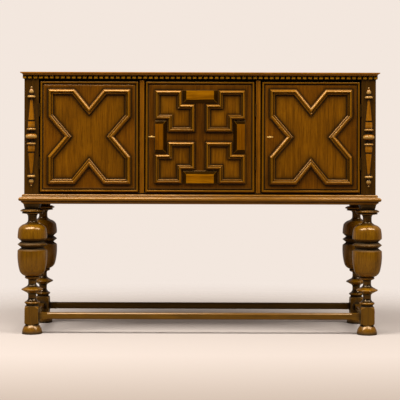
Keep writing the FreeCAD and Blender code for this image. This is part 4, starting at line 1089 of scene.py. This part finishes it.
@dataclass
class Case:
    """The fixed box: frame, panels, top, mouldings and what is inside. Edge widths are in millimetres."""

    frame_arris: float = 1.0
    dentil_arris: float = 0.7
    board_arris: float = 0.6

    def build(self) -> None:
        """Make every piece of the case."""
        self.build_frame()
        self.build_mouldings()
        self.build_inside()

    def build_frame(self) -> None:
        """Make the posts, rails, muntins and end panels."""
        for corner in CORNERS:
            Blank("post_" + corner, Grain.UPRIGHT, self.frame_arris).piece("oak_post_" + corner, SHADED_POST_OAK)
        for node in ("top_rail_front", "bottom_rail_front", "end_and_back_rails"):
            # The top rail's front takes the nearly black finish of painted shade.
            finish = SHADED_RAIL_OAK if node == "top_rail_front" else CASE_OAK
            Blank(node, Grain.LENGTHWISE, self.frame_arris).piece("oak_" + node, finish)
        for side in SIDES:
            Blank("muntin_" + side, Grain.UPRIGHT, self.frame_arris).piece("oak_muntin_" + side, CASE_OAK)
            Blank("end_panel_" + side, Grain.UPRIGHT).piece("oak_end_panel_" + side, FIELD_OAK)

    def build_mouldings(self) -> None:
        """Make the top, the dentil course, the base moulding and the split balusters."""
        TopBoard("top_board", Grain.ACROSS).piece("oak_top_board", LIGHTENED_TOP_OAK)
        for place, grain in (("front", Grain.ACROSS), ("left", Grain.DEEP), ("right", Grain.DEEP)):
            dentils = DentilCourse("frieze_" + place, grain, self.dentil_arris)
            dentils.piece("oak_dentils_" + place, DENTIL_OAK)
            Blank("base_" + place, grain).piece("oak_base_" + place, BASE_OAK)
        for side in SIDES:
            SplitBaluster("baluster_" + side, Grain.UPRIGHT).piece("oak_baluster_" + side, BALUSTER_OAK)

    def build_inside(self) -> None:
        """Make the boards, shelves and small blocks inside."""
        for node in ("bottom_board", "shelf_wide", "shelf_narrow", "shelf_cleats", "door_stops"):
            Blank(node, Grain.LENGTHWISE, self.board_arris).piece("oak_" + node, INNER_OAK)
        for node in ("back_panel", "partition"):
            Blank(node, Grain.UPRIGHT, self.board_arris).piece("oak_" + node, INNER_OAK)


@dataclass
class Stand:
    """The four turned legs and the stretchers that tie them. Edge widths are in millimetres."""

    block_arris: float = 1.8
    straight_edge: float = 18.0
    stretcher_arris: float = 1.2

    def build(self) -> None:
        """Make the legs and the stretchers."""
        for corner in CORNERS:
            blank = Leg("leg_" + corner, Grain.UPRIGHT, self.block_arris, self.straight_edge)
            blank.piece("oak_leg_" + corner, TURNED_OAK)
        for place in ("front", "rear", "left", "right"):
            blank = Blank("stretcher_" + place, Grain.LENGTHWISE, self.stretcher_arris)
            blank.piece("oak_stretcher_" + place, SHADED_REAR_OAK if place == "rear" else STRETCHER_OAK)


@dataclass
class Door:
    """One door: its board, bead, mouldings and tablets. Edge widths are in millimetres."""

    name: str
    field: StainedOak
    board_arris: float = 1.0
    tablet_arris: float = 0.8
    bead_cornice_shadow: float = 3.0
    moulding_left_shade: float = 0.75

    def build(self) -> None:
        """Make the door's pieces."""
        label = "door_" + self.name
        board = DoorBoard(label + "_board", Grain.UPRIGHT, self.board_arris, moulding=label + "_moulding")
        board.piece("oak_%s_board" % label, self.field)
        Strip(label + "_bead", Grain.STICKS, cornice_shadow=self.bead_cornice_shadow).piece("oak_%s_bead" % label, BEAD_OAK)
        moulding = Strip(label + "_moulding", Grain.STICKS, left_flank_shade=self.moulding_left_shade)
        moulding.piece("oak_%s_moulding" % label, MOULDING_OAK)
        if self.name == "middle":
            tablets = Tablet(label + "_tablets", Grain.LENGTHWISE, self.tablet_arris)
            tablets.piece("oak_door_tablets", TABLET_OAK)


@dataclass
class Metalwork:
    """Hinges, locks, keys and the latch. Edge widths are in millimetres."""

    arris: float = 0.35
    shortest: float = 1.0
    key_arris: float = 1.6
    key_rounds: int = 4

    def build(self) -> None:
        """Make every metal piece."""
        for node in ("latch_guide", "latch_bolt"):
            self.plain(node).piece("brass_" + node, BRASS)
        for node in ("key_middle", "key_right"):
            Key(node, arris=self.key_arris, rounds=self.key_rounds).piece("brass_" + node, BRASS)
        for node in ("hinge_pins", *HINGE_LEAVES):
            self.plain(node).piece("brass_" + node, AGED_BRASS)
        for node in ("lock_case_middle", "lock_case_right", "bolt_middle", "bolt_right"):
            self.plain(node).piece("steel_" + node, STEEL)

    def plain(self, node: str) -> Blank:
        """Return a metal node with its edges broken."""
        return Blank(node, arris=self.arris, shortest=self.shortest)


@dataclass
class Screws:
    """Slotted screws in the hinge leaves, lock cases and latch plate. Sizes are in millimetres."""

    head_width: float = 5.0
    head_height: float = 0.7
    head_segments: int = 20
    head_rings: int = 10
    slot_width: float = 0.9
    slot_stretch: float = 10.0
    sharp: float = 35.0
    seed: int = 7
    leaf_inset: float = 8.0
    leaf_edge: float = 4.5
    leaf_stagger: float = 4.0
    leaf_gap: float = 1.5
    plate_inset: float = 5.0
    latch_inset: float = 3.4
    latch_plate: float = 1.5

    def build(self) -> None:
        """Drive every screw, one piece for each body and metal."""
        tree = self.tree()
        for node in HINGE_LEAVES:
            places = self.hinge_places(node)
            if node == "hinge_leaves_left_door":
                places += self.latch_places()
            self.piece("brass_screws_" + body_of(node), body_of(node), "brass", AGED_BRASS, places, tree)
        for door in ("middle", "right"):
            node = "lock_case_" + door
            places = self.plate_places(node)
            self.piece("steel_screws_" + body_of(node), body_of(node), "lock_steel", STEEL, places, tree)

    def hinge_places(self, node: str) -> list[tuple[Vector, Vector]]:
        """Find places for three screws on each leaf of a node.

        Args:
            node: The CAD node of some hinge leaves.

        Returns:
            Each screw's place and the way it faces.
        """
        joints = frame["record"]["behaviour"]["joints"]
        pins = [joint["pos_m"][0] for joint in joints if "door" in joint["child"]]
        blank = Blank(node)
        work = blank.merged()
        places = []
        for faces in blank.islands(work):
            points = [vert for face in faces for vert in face.verts]
            left, right = extent(points, X)
            low, high = extent(points, Z)
            axis_x = min(pins, key=lambda pin: abs(pin - (left + right) / 2))
            side = 1 if left + right > 2 * axis_x else -1
            levels = (low + self.leaf_inset * MM, (low + high) / 2, high - self.leaf_inset * MM)
            for index, level in enumerate(levels):
                edge = self.leaf_edge + self.leaf_stagger * (index % 2)
                place = (axis_x + side * self.leaf_gap * MM, extent(points, Y)[1] - edge * MM, level)
                places.append((Vector(place), Vector((-side, 0, 0))))
        work.free()
        return places

    def plate_places(self, node: str) -> list[tuple[Vector, Vector]]:
        """Find places for four screws near the corners of a plate's back face.

        Args:
            node: The plate's CAD node.

        Returns:
            Each screw's place and the way it faces.
        """
        low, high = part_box(node)
        inset = self.plate_inset * MM
        corners = [(x, z) for x in (low.x + inset, high.x - inset) for z in (low.z + inset, high.z - inset)]
        return [(Vector((x, high.y, z)), Vector((0, 1, 0))) for x, z in corners]

    def latch_places(self) -> list[tuple[Vector, Vector]]:
        """Find places for four screws in the latch's plate, clear of its straps.

        Returns:
            Each screw's place and the way it faces.
        """
        low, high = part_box("latch_guide")
        across = (self.plate_inset + self.head_width) * MM
        inset = self.latch_inset * MM
        face = low.y + self.latch_plate * MM
        corners = [(x, z) for x in (low.x + across, high.x - across) for z in (low.z + inset, high.z - inset)]
        return [(Vector((x, face, z)), Vector((0, 1, 0))) for x, z in corners]

    def tree(self) -> NodeTree:
        """Build the nodes that set a slotted head on each place, turned at random.

        Returns:
            The node group.
        """
        tree = bpy.data.node_groups.new("slotted_screws", "GeometryNodeTree")
        sockets = tree.interface
        sockets.new_socket("Screws", in_out="OUTPUT", socket_type="NodeSocketGeometry")
        kinds = {"Places": "Geometry", "Head Width": "Float", "Head Height": "Float", "Slot Width": "Float"}
        kinds |= {"Seed": "Int", "Metal": "Material"}
        for name, kind in kinds.items():
            sockets.new_socket(name, in_out="INPUT", socket_type="NodeSocket" + kind)
        given = add(tree, "NodeGroupInput").outputs
        # A ball one unit wide is squashed to a head whose lower half stays in the metal.
        ball = {"Segments": self.head_segments, "Rings": self.head_rings, "Radius": 0.5}
        tall = add(tree, "ShaderNodeMath", {0: given["Head Height"], 1: 2.0}, operation="MULTIPLY")
        wide = given["Head Width"]
        shape = add(tree, "ShaderNodeCombineXYZ", {"X": wide, "Y": wide, "Z": tall})
        round_head = add(tree, "GeometryNodeMeshUVSphere", ball)
        head = add(tree, "GeometryNodeTransform", {"Geometry": round_head, "Scale": shape})
        # A bar longer than the head is wide cuts the slot.
        section = {"X": tall, "Y": given["Slot Width"], "Z": given["Head Height"]}
        size = {0: add(tree, "ShaderNodeCombineXYZ", section), 1: (self.slot_stretch, 1.0, 1.0)}
        long_slot = add(tree, "ShaderNodeVectorMath", size, operation="MULTIPLY")
        bar = add(tree, "GeometryNodeMeshCube", {"Size": long_slot})
        lift = add(tree, "ShaderNodeCombineXYZ", {"Z": given["Head Height"]})
        slot = add(tree, "GeometryNodeTransform", {"Geometry": bar, "Translation": lift})
        cut = add(tree, "GeometryNodeMeshBoolean", {0: head, 1: slot}, operation="DIFFERENCE")
        facing = add(tree, "GeometryNodeInputNamedAttribute", {"Name": FACING}, data_type="FLOAT_VECTOR")
        aim = add(tree, "FunctionNodeAlignRotationToVector", {"Vector": facing}, axis="Z")
        draw = {"Min": 0.0, "Max": math.pi, "Seed": given["Seed"]}
        angle = add(tree, "FunctionNodeRandomValue", draw, data_type="FLOAT")
        spin = add(tree, "FunctionNodeAxisAngleToRotation", {"Axis": (0, 0, 1), "Angle": angle})
        both = {"Rotation": aim, "Rotate By": spin}
        turn = add(tree, "FunctionNodeRotateRotation", both, rotation_space="LOCAL")
        setting = {"Points": given["Places"], "Instance": cut, "Rotation": turn}
        set_out = add(tree, "GeometryNodeInstanceOnPoints", setting)
        real = add(tree, "GeometryNodeRealizeInstances", {"Geometry": set_out})
        metal = add(tree, "GeometryNodeSetMaterial", {"Geometry": real, "Material": given["Metal"]})
        add(tree, "NodeGroupOutput", {"Screws": metal})
        return tree

    def piece(
        self,
        name: str,
        body: str,
        slot: str,
        finish: WornMetal,
        places: Sequence[tuple[Vector, Vector]],
        tree: NodeTree,
    ) -> Object:
        """Make the screws of one metal on one body.

        Args:
            name: The piece's name.
            body: The body that it rides on.
            slot: The record's material slot meant for the screws; not used.
            finish: What the screws are made of.
            places: Where each screw stands and which way it faces.
            tree: The nodes that set the heads.

        Returns:
            The new object.
        """
        points = bpy.data.meshes.new(name + "_places")
        points.from_pydata([place for place, _ in places], [], [])
        facing = points.attributes.new(FACING, "FLOAT_VECTOR", "POINT")
        for index, (_, way) in enumerate(places):
            facing.data[index].vector = way
        shown = placed(name, points)
        setter = shown.modifiers.new("screws", "NODES")
        setter.node_group = tree
        given = {
            "Head Width": self.head_width * MM,
            "Head Height": self.head_height * MM,
            "Slot Width": self.slot_width * MM,
            "Seed": self.seed,
            "Metal": finish.material(),
        }
        for item in tree.interface.items_tree:
            if item.in_out == "INPUT" and item.name in given:
                setter[item.identifier] = given[item.name]
        graph = bpy.context.evaluated_depsgraph_get()
        heads = bpy.data.meshes.new_from_object(shown.evaluated_get(graph))
        shown.modifiers.remove(setter)
        shown.data = heads
        heads.name = name
        heads.set_sharp_from_angle(angle=math.radians(self.sharp))
        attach(shown, body)
        LOG.info("%s holds %d screws", name, len(places))
        return shown


# Studio


@dataclass(frozen=True)
class Softbox:
    """A large soft lamp hung high in front of the case. Sizes and places are in metres, power in watts."""

    name: str
    across: float
    wide: float
    power: float
    deep: float = 1.6
    front: float = 1.45
    height: float = 3.6
    tilt_degrees: float = 24.0
    colour: str = "#fffaf2"

    def hang(self) -> None:
        """Hang the lamp square to the case and tilt it back towards it."""
        lamp = bpy.data.lights.new(self.name, "AREA")
        lamp.shape = "RECTANGLE"
        lamp.size = self.wide
        lamp.size_y = self.deep
        lamp.energy = self.power
        lamp.color = linear(self.colour)[:3]
        stand = placed(self.name, lamp)
        stand.location = (self.across, -self.front, self.height)
        stand.rotation_euler = (math.radians(self.tilt_degrees), 0, 0)


LEFT_SOFTBOX = Softbox("left_softbox", across=-1.75, wide=3.5, power=222.0)
RIGHT_SOFTBOX = Softbox("right_softbox", across=2.4, wide=3.2, power=160.0)


@dataclass
class Studio:
    """Pale floor and backdrop, two high softboxes, a low fill and the camera. Sizes are in metres."""

    floor_radius: float = 3.2
    floor_sides: int = 96
    floor_clear: float = 1.7
    floor_gone: float = 0.95
    floor_front: float = 1.2
    floor_colour: str = "#b9b0ab"
    floor_front_colour: str = "#9b9088"
    floor_dim_from: float = 0.7
    floor_dim_to: float = 1.6
    floor_bounce: str = "#887858"
    backdrop: str = "#f3e7de"
    fill_range: tuple[float, float] = (-0.1, 0.9)
    low_fill: float = 0.08
    high_fill: float = 0.62
    glint_range: tuple[float, float] = (-0.5, 0.5)
    dim_side: float = 0.03
    bright_side: float = 0.3
    photo_side_px: float = 400.0
    focal_px: float = 1172.0
    horizon_px: float = 154.5
    roll_degrees: float = 0.16
    sensor_mm: float = 36.0
    distance: float = 4.9
    height: float = 0.755

    def build(self) -> None:
        """Set up the floor, the light and the camera."""
        bpy.context.scene.view_settings.view_transform = "Standard"
        self.lay_floor()
        self.light_world()
        for softbox in (LEFT_SOFTBOX, RIGHT_SOFTBOX):
            softbox.hang()
        self.set_camera()

    def lay_floor(self) -> None:
        """Lay a round floor that fades into the backdrop."""
        mesh = bpy.data.meshes.new("floor")
        work = bmesh.new()
        bmesh.ops.create_circle(work, cap_ends=True, segments=self.floor_sides, radius=self.floor_radius)
        work.to_mesh(mesh)
        work.free()
        mesh.materials.append(self.floor_material())
        mesh.transform(Matrix.Translation((0, -self.floor_front, 0)))
        floor = placed("floor", mesh)

    def floor_material(self) -> Material:
        """Paint the floor matt: pale where the camera sees it, with a painted falloff of light that darkens
        it towards the camera, dimmer to the cabinet, without a veil.

        Returns:
            The new material.
        """
        material, tree = new_material("pale_floor")
        place = add(tree, "ShaderNodeTexCoord").outputs["Object"]
        centre = {0: place, 1: (0, -self.floor_front, 0)}
        reach = add(tree, "ShaderNodeVectorMath", centre, operation="DISTANCE")
        rim = {"Value": reach, "From Min": self.floor_clear, "From Max": self.floor_radius * self.floor_gone}
        fade = add(tree, "ShaderNodeMapRange", rim, interpolation_type="SMOOTHSTEP")
        # Painted light: the floor's paint darkens towards the camera, to stand for the light falling off.
        ahead = add(tree, "ShaderNodeSeparateXYZ", {0: place}).outputs["Y"]
        dimming = {"Value": ahead, "From Min": -self.floor_dim_from, "From Max": -self.floor_dim_to}
        nearer = add(tree, "ShaderNodeMapRange", dimming)
        paints = {"Factor": nearer, "A": linear(self.floor_colour), "B": linear(self.floor_front_colour)}
        paint = add(tree, "ShaderNodeMix", paints, data_type="RGBA")
        direct = add(tree, "ShaderNodeLightPath").outputs["Is Camera Ray"]
        looks = {"Factor": direct, "A": linear(self.floor_bounce), "B": paint}
        colour = add(tree, "ShaderNodeMix", looks, data_type="RGBA")
        matt = add(tree, "ShaderNodeBsdfDiffuse", {"Color": colour, "Roughness": 0.0})
        clear = add(tree, "ShaderNodeBsdfTransparent")
        mixed = add(tree, "ShaderNodeMixShader", {0: fade, 1: matt, 2: clear})
        add(tree, "ShaderNodeOutputMaterial", {"Surface": mixed})
        return material

    def light_world(self) -> None:
        """Light the room evenly, and show a pale backdrop that is dimmer behind the camera."""
        world = bpy.data.worlds.new("studio")
        bpy.context.scene.world = world
        world.use_nodes = True
        tree = world.node_tree
        tree.nodes.clear()
        way = add(tree, "ShaderNodeTexCoord").outputs["Generated"]
        parts = add(tree, "ShaderNodeSeparateXYZ", {0: way}).outputs
        low, high = self.glint_range
        glints = {"Value": parts["Y"], "From Min": low, "From Max": high}
        glints |= {"To Min": self.dim_side, "To Max": self.bright_side}
        shade = add(tree, "ShaderNodeMapRange", glints, interpolation_type="SMOOTHSTEP")
        low, high = self.fill_range
        fills = {"Value": parts["Z"], "From Min": low, "From Max": high}
        fills |= {"To Min": self.low_fill, "To Max": self.high_fill}
        level = add(tree, "ShaderNodeMapRange", fills)
        path = add(tree, "ShaderNodeLightPath").outputs
        rays = {0: path["Is Glossy Ray"], 1: path["Is Transmission Ray"]}
        mirror = add(tree, "ShaderNodeMath", rays, operation="MAXIMUM")
        colour = linear(self.backdrop)
        fill = add(tree, "ShaderNodeBackground", {"Color": colour, "Strength": level})
        seen = add(tree, "ShaderNodeBackground", {"Color": colour, "Strength": 1.0})
        glint = add(tree, "ShaderNodeBackground", {"Color": colour, "Strength": shade})
        room = add(tree, "ShaderNodeMixShader", {0: mirror, 1: fill, 2: glint})
        whole = add(tree, "ShaderNodeMixShader", {0: path["Is Camera Ray"], 1: room, 2: seen})
        add(tree, "ShaderNodeOutputWorld", {"Surface": whole})

    def set_camera(self) -> None:
        """Stand the camera square to the front, a little above the middle, with its lens shifted down."""
        lens = bpy.data.cameras.new("camera")
        lens.sensor_width = self.sensor_mm
        lens.lens = self.focal_px * self.sensor_mm / self.photo_side_px
        lens.shift_y = (self.horizon_px - self.photo_side_px / 2) / self.photo_side_px
        camera = placed("camera", lens)
        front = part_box("post_front_left")[0].y
        level = Matrix.Rotation(math.radians(90), 4, "X")
        roll = Matrix.Rotation(math.radians(self.roll_degrees), 4, "Z")
        camera.matrix_world = Matrix.Translation((0, front - self.distance, self.height)) @ level @ roll
        bpy.context.scene.camera = camera


def main() -> None:
    """Build and dress the cabinet, then set up the studio."""
    logging.basicConfig(level=logging.INFO, format="%(name)s: %(message)s")
    Case().build()
    Stand().build()
    for name, field in (("left", FIELD_OAK), ("middle", FRAME_OAK), ("right", FIELD_OAK)):
        Door(name, field).build()
    Metalwork().build()
    Screws().build()
    Studio().build()


if __name__ == "__main__":
    main()
